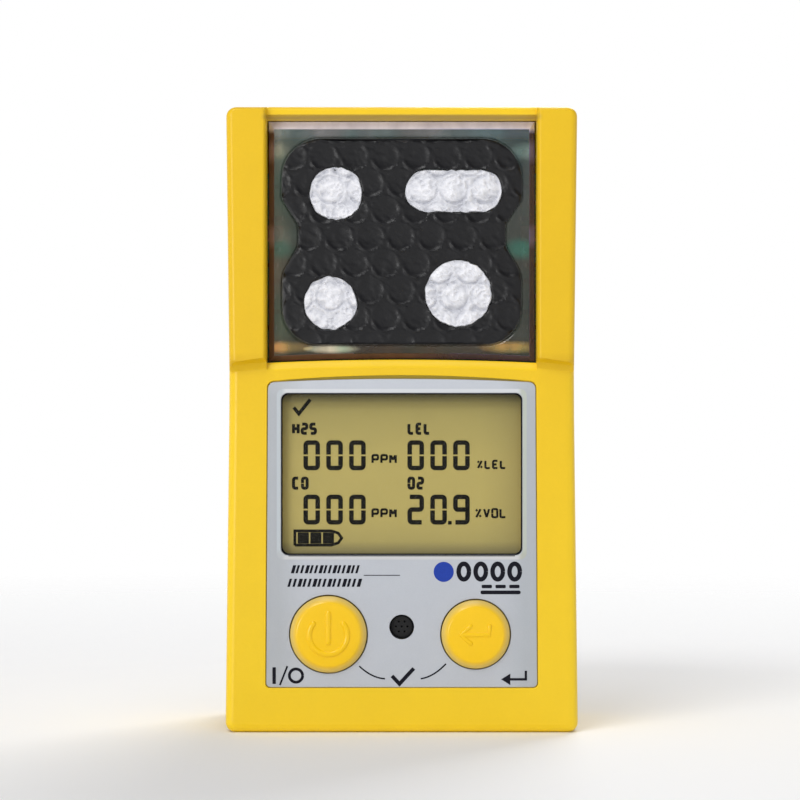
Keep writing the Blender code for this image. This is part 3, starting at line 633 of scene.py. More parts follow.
class Finish:
    """A procedural material, laid out in millimetres of the piece.

    A factor is a socket, noise as (features per mm, detail, stretch), or an axis
    with the place where it is 0 and the place where it is 1. In the names of
    inputs _ stands for a space.
    """

    def __init__(self, name, colour, roughness, **values):
        self.material = bpy.data.materials.new(name)
        self.material.use_nodes = True
        self.tree = self.material.node_tree
        self.shader = self.tree.nodes["Principled BSDF"]
        self.fill(self.shader, Base_Color=(*colour, 1.0), Roughness=roughness, **values)
        coords = self.node("TexCoord").outputs["Object"]
        self.coords = self.vector("MULTIPLY", coords, (1 / MM, 1 / MM, 1 / MM))
        self.normal = None

    def fill(self, node, **inputs):
        """Set each input to a value, or link it to a socket."""
        for label, value in inputs.items():
            socket = node.inputs[label.replace("_", " ")]
            if isinstance(value, bpy.types.NodeSocket):
                self.tree.links.new(value, socket)
            else:
                socket.default_value = value

    def node(self, kind, **inputs):
        """New node with its inputs filled."""
        node = self.tree.nodes.new(f"ShaderNode{kind}")
        self.fill(node, **inputs)
        return node

    def vector(self, operation, source, by=(0, 0, 0)):
        """Difference, product or length of a vector."""
        node = self.node("VectorMath")
        node.operation = operation
        node.inputs[1].default_value = by
        self.tree.links.new(source, node.inputs[0])
        return node.outputs["Value" if operation == "LENGTH" else "Vector"]

    def factor(self, source):
        """Socket of a factor."""
        if isinstance(source, bpy.types.NodeSocket):
            return source
        if isinstance(source[0], str):
            axis, low, high = source
            return self.spread(self.node("SeparateXYZ", Vector=self.coords).outputs[axis], low, high)
        per_mm, detail, *stretch = source
        lay = self.node("Mapping", Vector=self.coords, Scale=stretch[0] if stretch else (1, 1, 1))
        return self.node("TexNoise", Vector=lay.outputs[0], Scale=per_mm, Detail=detail,
                         Roughness=0.55).outputs["Fac"]

    def spread(self, source, low, high, to_low=0.0, to_high=1.0):
        """Map a range of values onto another."""
        return self.node("MapRange", Value=self.factor(source), From_Min=low, From_Max=high,
                         To_Min=to_low, To_Max=to_high).outputs["Result"]

    def near(self, x, z, reach_x, reach_z, core=0.35):
        """1 about a point of the front view, 0 beyond an ellipse; core is the share of it at 1."""
        away = self.vector("SUBTRACT", self.coords, (x, 0.0, z))
        scaled = self.vector("MULTIPLY", away, (1 / reach_x, 0.0, 1 / reach_z))
        return self.spread(self.vector("LENGTH", scaled), 1.0, core)

    def both(self, *sources):
        """Product of two or more factors."""
        product = self.factor(sources[0])
        for source in sources[1:]:
            node = self.node("Math")
            node.operation = "MULTIPLY"
            self.tree.links.new(product, node.inputs[0])
            self.tree.links.new(self.factor(source), node.inputs[1])
            product = node.outputs[0]
        return product

    def fade(self, full, gone):
        """Opaque within one distance of the origin, vanished beyond another."""
        away = self.vector("LENGTH", self.coords)
        self.fill(self.shader, Alpha=self.spread(away, full, gone, 1.0, 0.0))

    def tint(self, factor, low, high=WHITE):
        """Multiply the colour so far by low where the factor is 0, by high where it is 1."""
        socket = self.shader.inputs["Base Color"]
        mix = self.tree.nodes.new("ShaderNodeMix")
        mix.data_type = "RGBA"
        mix.blend_type = "MULTIPLY"
        ramp = self.node("ValToRGB", Fac=self.factor(factor))
        ramp.color_ramp.elements[0].color = (*low, 1.0)
        ramp.color_ramp.elements[1].color = (*high, 1.0)
        self.fill(mix, Factor=1.0, A=socket.default_value, B=ramp.outputs["Color"])
        if socket.is_linked:
            self.fill(mix, A=socket.links[0].from_socket)
        self.fill(self.shader, Base_Color=mix.outputs["Result"])

    def rough(self, factor, low, high):
        """Roughness that follows a factor."""
        self.fill(self.shader, Roughness=self.spread(factor, 0.25, 0.75, low, high))

    def bump(self, factor, depth, strength):
        """Relief of a depth in millimetres, on top of any before it."""
        node = self.node("Bump", Height=self.factor(factor), Strength=strength, Distance=depth * MM)
        if self.normal:
            self.fill(node, Normal=self.normal)
        self.normal = node.outputs["Normal"]
        self.fill(self.shader, Normal=self.normal)


def darker(amount, warm=0.0):
    """Multiplier below 1, the same for all colours or a little warm."""
    return 1 - amount, 1 - amount - warm, 1 - amount - 2 * warm


def moulded(name, colour, roughness, grain=0.02, mottle=0.06):
    """Moulded plastic with a fine spark-eroded texture."""
    finish = Finish(name, colour, roughness, Specular_IOR_Level=0.32)
    finish.tint((0.12, 2), darker(mottle, 0.01))
    finish.tint((2.2, 2), darker(mottle * 0.7))
    finish.rough((0.7, 3), roughness - 0.05, roughness + 0.06)
    finish.bump((3.6, 3), grain, 0.35)
    finish.bump((0.35, 2), grain * 3, 0.12)
    return finish


def case_shell():
    """Yellow case plastic, with painted light low on the front and painted shade on the rails' fronts and
    in its corners.

    The painted corners are the rails' feet, under the window's rim and above the label.
    """
    finish = moulded("case_plastic", (0.93, 0.625, 0.013), 0.34)
    # Painted shade: the rails' fronts darker than the rest of the case.
    finish.tint(("Y", RAIL_Y + 0.2, FRONT_Y + 1.0), (0.85, 0.8, 0.6))
    # Painted light: the lower part of the front lighter.
    painted_light_low_front = finish.both(("Z", 58.0, 12.0), ("Y", FRONT_Y + 1.6, FRONT_Y + 0.4))
    finish.tint(painted_light_low_front, WHITE, (1.05, 1.09, 1.3))
    # Painted shade on the ramps at the rails' feet.
    foot = finish.both(("Y", FRONT_Y + 0.1, FRONT_Y - 0.15), ("Z", 66.2, 64.5))
    finish.tint(foot, WHITE, (0.88, 0.84, 0.5))
    # Painted shade on the slope just under the window's top rim.
    painted_shade_under_rim = finish.both(finish.near(0.0, 107.0, 60.0, 0.75), finish.near(0.0, 107.0, 24.5, 60.0, 0.95),
                            ("Y", INNER_FRONT_Y + 1.5, INNER_FRONT_Y))
    finish.tint(painted_shade_under_rim, WHITE, (0.55, 0.56, 6.0))
    # Painted shade on the recess floor in the gap above the label.
    recess = finish.both(("Y", FRONT_Y + 0.1, FRONT_Y + 0.35), ("Y", FRONT_Y + 2.5, FRONT_Y + 1.5),
                         finish.near(0.0, 61.8, 22.5, 2.0, 0.9))
    finish.tint(recess, WHITE, (0.5, 0.55, 2.0))
    return finish


def button_plastic():
    """Yellow plastic of the caps, with a painted pale highlight on the slope round each of them."""
    crown = span("power_button")[0].y
    finish = moulded("button_plastic", (0.93, 0.575, 0.004), 0.22, grain=0.008)
    # Painted highlight: the sloped rim of each cap paler all round.
    finish.tint(("Y", crown + 0.08, crown + 0.65), WHITE, (0.76, 0.89, 32.0))
    return finish


def rubber():
    """Matt black elastomer with dust-fine specks."""
    finish = Finish("black_rubber", (0.012, 0.012, 0.013), 0.68)
    finish.tint((0.8, 4), darker(0.4))
    finish.rough((1.5, 3), 0.6, 0.8)
    finish.bump((4.0, 4), 0.03, 0.5)
    return finish


def barrier_film():
    """Black embossed film."""
    finish = Finish("barrier_film", (0.005, 0.005, 0.006), 0.33, Specular_IOR_Level=0.3)
    finish.tint((0.5, 3), (0.6, 0.6, 0.65), (1.3, 1.3, 1.35))
    finish.rough((0.9, 3), 0.27, 0.4)
    finish.bump((3.0, 4), 0.03, 0.5)
    finish.bump((9.0, 2), 0.01, 0.4)
    return finish


def porous_film():
    """White porous membrane with fine fibres, with painted shade in its folds."""
    finish = Finish("porous_film", (0.82, 0.82, 0.85), 0.5)
    top = middle("co_membrane").y - 0.6
    # Painted shade in the deeper folds, painted light on the raised parts.
    finish.tint(("Y", top + 0.75, top), (0.66, 0.67, 0.7), (1.12, 1.12, 1.12))
    finish.tint((4.5, 4, (1, 1, 2.5)), (0.93, 0.93, 0.94))
    finish.bump((3.5, 5, (1, 1, 1.6)), 0.04, 0.6)
    return finish


def label_film():
    """Silver-grey printed film, with painted light above the display and painted shade at its sides."""
    finish = Finish("label_film", (0.58, 0.605, 0.635), 0.38, Metallic=0.15, Specular_IOR_Level=0.4)
    # Painted light: the film above the display lighter.
    finish.tint(("Z", 58.5, 60.5), (0.885, 0.89, 0.92), (0.965, 0.97, 1.0))
    # Painted shade towards both sides.
    finish.tint(("X", -21.5, -17.0), (0.86, 0.86, 0.84))
    finish.tint(("X", 21.5, 17.0), (0.86, 0.87, 0.86))
    finish.tint((5.5, 2), (0.9, 0.9, 0.905))
    finish.tint((0.25, 2), (0.95, 0.955, 0.96))
    finish.rough((6.0, 2), 0.3, 0.44)
    finish.bump((5.0, 2), 0.008, 0.4)
    return finish


def display_film():
    """Olive polariser of the reflective display, with painted shade towards its edges: top, bottom and
    right side.
    """
    finish = Finish("display_film", (0.535, 0.435, 0.135), 0.4, Specular_IOR_Level=0.25)
    # Painted shade towards the bottom, the right side and the top, darkest just under the top edge.
    finish.tint(("Z", LCD_LOW.z, LCD_LOW.z + 9.0), (0.84, 0.87, 0.98))
    finish.tint(("X", LCD_HIGH.x, LCD_HIGH.x - 9.0), (0.8, 0.8, 0.84))
    finish.tint(("Z", LCD_HIGH.z, LCD_HIGH.z - 14.0), (0.72, 0.75, 0.8))
    finish.tint(("Z", 59.3, 56.3), (0.4, 0.42, 0.45))
    finish.tint(("Z", 59.0, 57.4), (0.32, 0.33, 0.38))
    finish.tint(("Z", 30.7, 33.2), (0.5, 0.55, 0.8))
    finish.tint((0.2, 3), (0.94, 0.95, 0.97))
    finish.tint((3.0, 3), (0.94, 0.94, 0.92))
    finish.bump((2.0, 2), 0.006, 0.3)
    return finish


def ink(name, colour, gloss=0.07):
    """Screen-printed ink."""
    finish = Finish(name, colour, 0.5, Specular_IOR_Level=gloss)
    finish.tint((3.0, 3), (0.75, 0.75, 0.75), (1.1, 1.1, 1.1))
    finish.rough((4.0, 2), 0.42, 0.58)
    return finish


def rim_ink():
    """Pale ink round the display, with painted shade at its sides and bottom."""
    finish = Finish("rim_ink", (0.61, 0.63, 0.655), 0.5, Specular_IOR_Level=0.25)
    # Painted shade at both sides and along the bottom.
    finish.tint(("X", -20.9, -20.2), (0.78, 0.82, 0.84))
    finish.tint(("X", 20.9, 20.2), (0.76, 0.79, 0.68))
    finish.tint(("Z", 31.0, 32.0), (0.93, 0.9, 0.88))
    finish.rough((4.0, 2), 0.42, 0.58)
    return finish


def clear_lens():
    """Hard-coated clear window over the display."""
    finish = Finish("clear_lens", (0.1, 0.1, 0.08), 0.1, Alpha=0.05, IOR=1.4, Specular_IOR_Level=0.2)
    finish.tint((0.16, 3), (0.8, 0.85, 0.85), (1.1, 1.1, 1.05))
    finish.bump((0.4, 2), 0.01, 0.1)
    return finish


# Light caught in the smoked cover: x, z, reach in x and z, and what it does to the colour
COVER_GLINTS = [
    (-21.6, 101.3, 2.4, 1.8, (2.2, 1.95, 1.8)), (21.4, 101.3, 2.6, 1.8, (3.6, 3.3, 3.2)),
    (-19.8, 86.5, 2.8, 1.6, (1.3, 1.45, 1.6)), (-21.0, 84.2, 2.8, 2.0, (0.7, 1.6, 1.7)),
    (20.8, 84.3, 3.2, 2.2, (0.8, 2.7, 2.5)), (-12.2, 66.8, 5.2, 0.9, (12.0, 16.0, 22.0)),
    (-20.7, 67.1, 5.4, 1.2, (6.5, 4.8, 3.0)), (19.2, 67.1, 6.2, 1.2, (10.0, 7.6, 3.6)),
]


def smoked_cover():
    """Smoked polycarbonate, seen through by its alpha, with green and ochre light caught inside painted on
    as glints, painted shade lower down and to the right, and painted light at the top and at the left
    edge.
    """
    finish = Finish("smoked_cover", (0.098, 0.112, 0.1), 0.14, Alpha=0.6, IOR=1.58,
                    Specular_IOR_Level=0.4)
    finish.tint(finish.spread((0.13, 2, (1, 1, 0.7)), 0.38, 0.62), (0.6, 0.85, 0.8), (1.1, 1.03, 1.0))
    finish.tint(finish.spread((0.3, 3, (1, 1, 0.3)), 0.35, 0.65), (0.7, 0.71, 0.7), (1.25, 1.22, 1.22))
    # Painted shade lower down and brown at the bottom edge, painted light near the top, painted shade to
    # the right and painted light at the left edge.
    finish.tint(("Z", 84.0, 103.0), (0.68, 0.58, 0.46))
    finish.tint(("Z", 67.6, 69.2), (0.95, 0.66, 0.5))
    finish.tint(("Z", 104.4, 103.2), (1.8, 1.7, 2.0))
    finish.tint(("X", 22.0, 8.0), (0.78, 0.88, 1.05))
    finish.tint(("X", -22.0, -19.0), (2.3, 2.1, 1.9))
    # Painted glints: light caught in the cover at the places listed in COVER_GLINTS.
    for *place, light in COVER_GLINTS:
        finish.tint(finish.near(*place), WHITE, light)
    finish.rough((1.2, 3), 0.12, 0.22)
    finish.bump((0.4, 2), 0.02, 0.15)
    return finish


def cover_edge():
    """Bevelled edge of the smoked cover, coloured by painted light and shade: a pale painted highlight on
    top, painted red-brown shade on the left, painted purple shade on the right.
    """
    finish = Finish("cover_edge", (0.5, 0.41, 0.4), 0.22, Alpha=0.9, Specular_IOR_Level=0.5)
    # Painted highlight on the top edge; painted dark red-brown shade on the sides and bottom below it.
    finish.tint(("Z", 104.4, 105.4), (0.24, 0.145, 0.11), (1.6, 1.85, 2.05))
    finish.tint((0.35, 3, (1, 1, 0.25)), (0.6, 0.55, 0.58), (1.25, 1.22, 1.2))
    # Painted purple shade on the right side of the edge.
    right = finish.both(("X", 0.0, 10.0), ("Z", 105.4, 104.4))
    finish.tint(right, WHITE, (0.55, 0.75, 1.7))
    # Painted glints on the edge beside the waist notches and the upper corners.
    for x in (-22.8, 22.8):
        for z in (86.5, 101.3):
            finish.tint(finish.near(x, z, 1.8, 2.4), WHITE, (2.2, 2.7, 3.4))
    finish.bump((0.8, 2), 0.03, 0.3)
    return finish


def metal(name, colour, roughness, stretch, scratch=0.004):
    """Metal brushed or turned along one direction."""
    finish = Finish(name, colour, roughness, Metallic=1.0)
    finish.tint((0.5, 3), darker(0.08))
    finish.tint((4.0, 3, stretch), darker(0.07))
    finish.rough((3.0, 3, stretch), roughness - 0.04, roughness + 0.08)
    finish.bump((6.0, 3, stretch), scratch, 0.3)
    return finish


def circuit_board():
    """Green solder mask over copper tracks."""
    finish = Finish("circuit_board", (0.03, 0.27, 0.17), 0.35, Coat_Weight=0.5, Coat_Roughness=0.2)
    turn = finish.node("Mapping", Vector=finish.coords, Rotation=(math.radians(90), 0, 0))
    bricks = finish.node("TexBrick", Vector=turn.outputs[0], Scale=0.55, Mortar_Size=0.035)
    tracks = bricks.outputs["Fac"]
    finish.tint(tracks, (0.75, 0.8, 0.75), (1.9, 1.5, 1.6))
    finish.tint((0.5, 3), darker(0.25))
    finish.bump(tracks, 0.03, 0.4)
    return finish


def shrink_wrap():
    """Blue heat-shrink film with fine wrinkles."""
    finish = Finish("shrink_wrap", (0.03, 0.09, 0.3), 0.33, Coat_Weight=0.3, Coat_Roughness=0.2)
    finish.tint((0.3, 3), darker(0.2))
    finish.rough((0.8, 3), 0.26, 0.42)
    finish.bump((0.35, 4, (1, 1, 0.4)), 0.25, 0.4)
    return finish


def lamp_lens():
    """Red diffusing lens of a warning light."""
    finish = Finish("lamp_lens", (0.75, 0.42, 0.34), 0.25, Coat_Weight=0.6, Coat_Roughness=0.1)
    finish.tint((0.9, 3), darker(0.25))
    finish.bump((2.5, 2), 0.02, 0.3)
    return finish


def make_finishes():
    """One material for each of the record's slots, and the ones for print and small parts."""
    finishes = {
        "case_plastic": case_shell(),
        "button_plastic": button_plastic(),
        "clear_plastic": smoked_cover(),
        "lens": clear_lens(),
        "cover_edge": cover_edge(),
        "barrier": barrier_film(),
        "membrane": porous_film(),
        "label": label_film(),
        "lcd": display_film(),
        "black_rubber": rubber(),
        "black_plastic": moulded("black_plastic", (0.004, 0.004, 0.0045), 0.42, mottle=0.3),
        "white_plastic": moulded("white_plastic", (0.7, 0.7, 0.68), 0.45, mottle=0.05),
        "circuit_board": circuit_board(),
        "battery_wrap": shrink_wrap(),
        "red_lens": lamp_lens(),
        "steel": metal("brushed_steel", (0.62, 0.62, 0.63), 0.34, (1, 1, 0.06)),
        "brass": metal("turned_brass", (0.8, 0.6, 0.25), 0.3, (1, 0.1, 1)),
        "gold_contact": metal("gold_plate", (0.9, 0.66, 0.24), 0.22, (1, 1, 1), scratch=0.006),
        "dark_ink": ink("dark_ink", (0.01, 0.01, 0.016)),
        "light_ink": rim_ink(),
        "blue_ink": ink("blue_ink", (0.01, 0.045, 0.36), gloss=0.25),
        "segment": ink("segment", (0.005, 0.004, 0.003)),
        "chip": moulded("chip", (0.02, 0.02, 0.022), 0.5, grain=0.03, mottle=0.2),
        "solder": metal("solder", (0.65, 0.65, 0.66), 0.3, (1, 1, 1)),
    }
    return {slot: finish.material for slot, finish in finishes.items()}


FINISH = make_finishes()


# -------------------------------------------------------------- front case

def half_body(seam_y, end_y, edge, rim_share, steps):
    """Outside of one half of the case, rounded at its seam and at its end."""
    away = math.copysign(1.0, end_y - seam_y)
    rings = []
    for s, c in quarter(4):
        inset = SEAM_ROUND * (1 - s)
        rings.append(at_y(case_outline(inset, inset, inset), seam_y + away * SEAM_ROUND * (1 - c)))
    for s, c in quarter(steps):
        inset = edge * (1 - c)
        rings.append(at_y(case_outline(DRAFT + inset, inset, rim_share * inset),
                          end_y - away * edge * (1 - s)))
    return loft(rings)


def hollow(seam_y, inner_y):
    """Inside of one half of the case, from past its seam to its floor."""
    return loft([at_y(case_outline(WALL, WALL, TOP_WALL), seam_y),
                 at_y(case_outline(WALL + DRAFT, WALL, TOP_WALL), inner_y)])


def rail(side):
    """One rail beside the window, ending below in a ramp."""
    foot = RAIL_RAMP * 0.5
    sections = [(FRONT_Y + 3.5, 0.8, 0.8, 0.0, 0.0), (FRONT_Y + 1.1, 0.3, 0.1, 0.0, 0.0),
                (FRONT_Y, 0.31, 0.2, 0.0, 0.0), (RAIL_Y + RAIL_ROUND, 0.32, 0.3, foot, 0.0)]
    for s, c in list(quarter(10))[1:]:
        inset = RAIL_ROUND * (1 - c)
        sections.append((RAIL_Y + RAIL_ROUND * (1 - s), 0.32 + inset, 0.3 + 0.5 * inset,
                         foot + 0.6 * RAIL_ROUND * s, 0.6 * inset))
    rings = []
    for y, outer, end, rise, inner in sections:
        corners = [(RAIL_INNER + inner, RAIL_FOOT_INNER + rise),
                   (WAIST_HALF - outer, RAIL_FOOT_OUTER + rise),
                   (TOP_HALF - outer, HEIGHT - end), (RAIL_INNER + inner, HEIGHT - end)]
        outline = fillet(corners, [0, 0.4, max(CORNER - outer, LEAST_CORNER), 0])
        rings.append([(side * x, y, z) for x, z in outline])
    return loft(rings)


def window_hole():
    """Hole for the cover: a bevel along its lower edge, a slope under its upper one."""
    levels = [(FRONT_Y - 0.4, -2.1, -0.3), (FRONT_Y, -1.25, -0.02), (FRONT_Y + 0.25, -0.7, 0.1),
              (FRONT_Y + 0.6, -0.1, 0.28), (FRONT_Y + 1.0, 0.25, 0.5), (FRONT_Y + 1.5, 0.3, 0.85),
              (INNER_FRONT_Y + OVER, 0.3, 0.85)]
    return loft([at_y(window_outline(0.0, low, high), y) for y, low, high in levels])


def make_front_case():
    """Front half of the case: body, rails, openings and a lip behind the seam."""
    case = place("front_case_shell", half_body(SEAM_FRONT_Y, FRONT_Y, FRONT_ROUND, RIM_SHARE, 10))
    floor_y = RECESS_FLOOR_Y
    through = (floor_y - OVER, INNER_FRONT_Y + OVER)
    shapes = [hollow(SEAM_FRONT_Y + OVER, INNER_FRONT_Y), window_hole(),
              mouth(lambda grow: label_outline(0.1 + grow, RECESS_ARCH), FRONT_Y, floor_y, edge=0.15),
              slab(view_outline(LENS_MARGIN + 0.25), floor_y - 0.3, LENS_LOW.y + 0.85),
              slab(view_outline(0.3), floor_y, INNER_FRONT_Y + OVER)]
    for name in BUTTONS:
        x, z, radius = cap_place(name)
        shapes.append(slab(circle(x, z, radius + CAP_CLEARANCE, 96), *through))
    shapes.append(slab(circle(PORT.x, PORT.z, PORT_RADIUS), *through))
    cut(case, *shapes)
    lip = band(case_outline(LIP_INSET, LIP_INSET, 1.3),
               case_outline(WALL - 0.1, WALL - 0.1, TOP_WALL + 0.1),
               SEAM_FRONT_Y - 0.5, SEAM_BACK_Y - 0.02)
    add(case, rail(1), rail(-1), lip)
    stand_in(case, "front_case", "case_plastic")


def cap_place(name):
    """Centre and radius of a button's cap, in front of its flange."""
    low, high = span(name)
    return (low.x + high.x) / 2, (low.z + high.z) / 2, (high.x - low.x) / 2 - CAP_FLANGE


# --------------------------------------------------------------- rear case

def make_rear_case():
    """Rear half of the case with its recess, counterbores and contact holes."""
    case = place("rear_case_shell", half_body(SEAM_BACK_Y, BACK_Y, BACK_ROUND, 1.0, 12))
    low, high = span("rear_label")
    shapes = [hollow(SEAM_BACK_Y - OVER, INNER_BACK_Y),
              mouth(lambda grow: framed(low, high, grow + 0.25, 1.5), BACK_Y, BACK_Y - 0.35)]
    for number in range(1, 5):
        at = middle(f"case_screw_{number}")
        top = span(f"case_screw_{number}")[1]
        radius = top.x - at.x + 0.2
        shapes.append(round_mouth(at.x, at.z, radius, BACK_Y, top.y - 1.8))
    for side in ("left", "right"):
        at = middle(f"charge_contact_{side}")
        shapes.append(round_mouth(at.x, at.z, 2.0, BACK_Y, INNER_BACK_Y - OVER))
    cut(case, *shapes)
    stand_in(case, "rear_case", "case_plastic")


def drive_recess(x, z, radius, top_y, floor_y):
    """Six-lobed recess of a screw as a cutting shape."""
    def lobed(scale):
        outline = []
        for i in range(48):
            angle = 2 * math.pi * i / 48
            reach = radius * scale * (0.86 + 0.14 * math.cos(6 * angle))
            outline.append((x + reach * math.cos(angle), z + reach * math.sin(angle)))
        return outline
    return loft([at_y(lobed(1.15), top_y), at_y(lobed(1.0), top_y - 0.15), at_y(lobed(0.95), floor_y)])


def make_screw(node, kind, profile, recess, depth):
    """Steel screw turned from its profile, with a recess of a radius and depth in its head."""
    at = middle(node)
    top = span(node)[1].y
    screw = place(f"{node}_{kind}", turned(at.x, at.z, profile, 48))
    cut(screw, drive_recess(at.x, at.z, recess, top + 0.1, top - depth))
    stand_in(screw, node, "steel")


def make_case_screws():
    """Pan-head screws in the counterbores of the back."""
    for number in range(1, 5):
        node = f"case_screw_{number}"
        low, high = span(node)
        head = high.x - middle(node).x - 0.05
        under = high.y - 1.6
        profile = [(low.y, 0.55), (low.y + 0.5, 1.0), (under, 1.0), (under, head)]
        profile += rounded_end(high.y, head, edge=0.75, steps=8)
        make_screw(node, "pan", profile, recess=1.0, depth=0.95)


# ------------------------------------------------------------------ window

def make_window_cover():
    """Smoked cover with a bevelled edge, a seat for the barrier and the gas openings."""
    front = COVER_LOW.y
    back = COVER_HIGH.y
    side, low, high = 0.25, 0.5, 0.95
    levels = [(front, 1.0, 1.4), (front + 0.06, 0.88, 1.28), (front + 0.75, 0.08, 0.1),
              (front + 0.85, 0.0, 0.0), (back, 0.0, 0.0)]
    rings = [at_y(window_outline(side + inset, low + inset, high + top), y) for y, inset, top in levels]
    cover = place("window_cover_clear", loft(rings))
    shapes = [mouth(lambda grow: barrier_outline(0.2 + grow), front, BARRIER_HIGH.y + 0.1, edge=0.38)]
    shapes += [slab(opening(name, -0.6), front, back + OVER) for name in GASES]
    cut(cover, *shapes)
    stand_in(cover, "window_cover", "clear_plastic")
    # The bevelled edge takes cover_edge, coloured with painted light and shade.
    cover.data.materials.append(FINISH["cover_edge"])
    sides = WINDOW_HALF - side - 1.1
    bottom = WINDOW_LOW + 1.9
    top = WINDOW_TOP - high - 1.5
    for face in cover.data.polygons:
        centre = face.center / MM
        outside = abs(centre.x) > sides or centre.z < bottom or centre.z > top
        if outside and centre.y < front + 0.9 and abs(face.normal.y) < 0.98:
            face.material_index = 1


def make_barrier():
    """Black embossed barrier, and the white membrane in each of its openings."""
    def shore(name, margin):
        centre = middle(f"{name}_membrane").xz
        return lambda grow: torn(opening(name, margin + grow), centre)

    sheet = film(barrier_outline, [shore(name, 0.3) for name in GASES], BARRIER_LOW.y, BARRIER_HIGH.y,
                 lambda x, z: emboss(x, z, depth=0.22, wrinkle=0.1, rim_width=0.3))
    stand_in(place("sensor_barrier_film", sheet), "sensor_barrier", "barrier")
    for name in GASES:
        low, high = span(f"{name}_membrane")
        disc = film(shore(name, 0.18), [], low.y + 0.12, high.y + 0.5,
                    lambda x, z: emboss(x + 1.6, z + 1.0, depth=-0.34, wrinkle=0.45),
                    step=0.16, edge=0.14)
        stand_in(place(f"{name}_membrane_film", disc), f"{name}_membrane", "membrane")


def make_alarm_lights():
    """Domed lens on each warning light."""
    for side in ("left", "right"):
        node = f"alarm_led_{side}"
        low, high = span(node)
        at = middle(node)
        face = low.y + 0.9
        radius = (high.z - low.z) / 2 * 0.86
        base = place(f"{node}_lens", soft_box(low.x, high.x, face, high.y, low.z, high.z, 0.12, 0.3))
        profile = [(high.y - 0.2, radius)]
        profile += [(low.y + 0.9 * (1 - s), max(radius * c, 0.02)) for s, c in quarter(8)]
        add(base, turned(at.x, at.z, profile, 32))
        stand_in(base, node, "red_lens")


def make_board_parts():
    """Small components on the board's arms beside the sensors."""
    face = span("main_board")[0].y
    back = face - 0.02
    light = middle("alarm_led_left").z
    chips = []
    pads = []
    for side in (-1, 1):
        for i in range(11):
            z = 68.0 + 2.75 * i
            if abs(z - light) < 2.6:
                continue
            x = side * (22.2 + 0.9 * (i % 2))
            half = 0.5 + 0.25 * (i % 3)
            chips.append(soft_box(x - half, x + half, face - 0.55, back, z - 0.38, z + 0.38, 0.06, 0.08))
            for end in (x - half - 0.16, x + half + 0.16):
                pads.append(soft_box(end - 0.16, end + 0.16, face - 0.5, back, z - 0.42, z + 0.42,
                                     0.05, 0.08))
    extra("board_chips", merge(chips), "chip")
    extra("board_solder", merge(pads), "solder")


# ------------------------------------------------------- label and display

def make_front_label():
    """Printed film round the display and the buttons."""
    front = LABEL_LOW.y
    back = LABEL_HIGH.y
    label = place("front_label_film", soft_slab(label_outline, front, back, 0.12))
    shapes = [mouth(view_outline, front, back + OVER, edge=0.1, steps=4)]
    for name in BUTTONS:
        x, z, radius = cap_place(name)
        shapes.append(round_mouth(x, z, radius + CAP_GAP, front, back + OVER, edge=0.08, steps=4,
                                  sides=96))
    shapes.append(round_mouth(PORT.x, PORT.z, PORT_RADIUS, front, back + OVER, edge=0.05, steps=4))
    cut(label, *shapes)
    stand_in(label, "front_label", "label")


def printed(outlines, face_y):
    """Thin shapes lying on a face that looks forward, in three levels so that none share a plane."""
    shapes = []
    for i, outline in enumerate(outlines):
        bm = slab(outline, face_y - PRINT_LIFT - 0.001 * (i % 3), face_y + 0.01)
        bmesh.ops.triangulate(bm, faces=bm.faces, ngon_method="EAR_CLIP")
        shapes.append(bm)
    return merge(shapes)


def make_label_print():
    """Generic marks: dashes, rules, gas rings, power signs, a check mark and an enter arrow."""
    front = LABEL_LOW.y
    dark = []
    for row, (left, right) in enumerate(((-19.3, -7.3), (-19.9, -7.0))):
        low = 27.75 - 2.35 * row
        high = low + 1.4
        pitch = (right - left) / 15
        for i in range(15):
            x = left + pitch * i
            width = pitch * (0.5 if (i + row) % 3 else 0.7)
            dark.append([(x, low), (x + width, low), (x + width + 0.4, high), (x + 0.4, high)])
    dark.append(rectangle(-6.6, -0.3, 27.33, 27.47))
    for i in range(4):
        dark.append(ribbon(ring_path(10.8 + 2.95 * i, 28.05, 0.9, 1.36), 0.78))
    dark.append(rectangle(13.7, 20.7, 24.1, 24.75, 0.3))
    for x in (14.8, 17.2, 19.6):
        dark.append(rectangle(x - 0.9, x + 0.9, 25.15, 25.75, 0.2))
    display_low = LENS_LOW.z + LENS_MARGIN
    dark.append(rectangle(-19.7, 19.7, display_low - 0.2, display_low - 0.04))
    dark.append(rectangle(-22.5, -21.9, 8.5, 11.4, 0.1))
    dark.append(ribbon([(-21.2, 8.3), (-19.9, 11.6)], 0.32))
    dark.append(ribbon(ring_path(-18.4, 9.95, 1.15, 1.15), 0.5))
    dark.append(ribbon(sagging_path((-7.4, 11.6), (-2.9, 9.4)), 0.26))
    dark.append(ribbon(sagging_path((3.3, 9.4), (7.7, 12.0)), 0.26))
    dark.append(ribbon([(-1.7, 9.9), (-0.4, 8.5), (2.1, 11.2)], 0.66))
    dark.append(ribbon([(21.6, 10.8), (21.6, 9.3), (18.6, 9.3)], 0.42))
    dark.append([(18.9, 10.3), (17.3, 9.3), (18.9, 8.3)])
    extra("label_print_dark", printed(dark, front), "dark_ink")
    rim = band(view_outline(0.75), view_outline(0.12), front - 0.015, front + 0.01)
    extra("label_print_rim", rim, "light_ink")
    extra("label_print_blue", printed([circle(7.3, 28.0, 1.75)], front), "blue_ink")


def ring_path(x, z, half_width, half_height):
    """Round or oval path that ends where it starts."""
    path = []
    for i in range(33):
        angle = math.pi * i / 16
        path.append((x + half_width * math.cos(angle), z + half_height * math.sin(angle)))
    return path


def sagging_path(start, end):
    """Path from start to end that bows down by half a millimetre."""
    points = []
    for i in range(11):
        t = i / 10
        points.append((start[0] + (end[0] - start[0]) * t,
                       start[1] + (end[1] - start[1]) * t - 2 * t * (1 - t)))
    return points


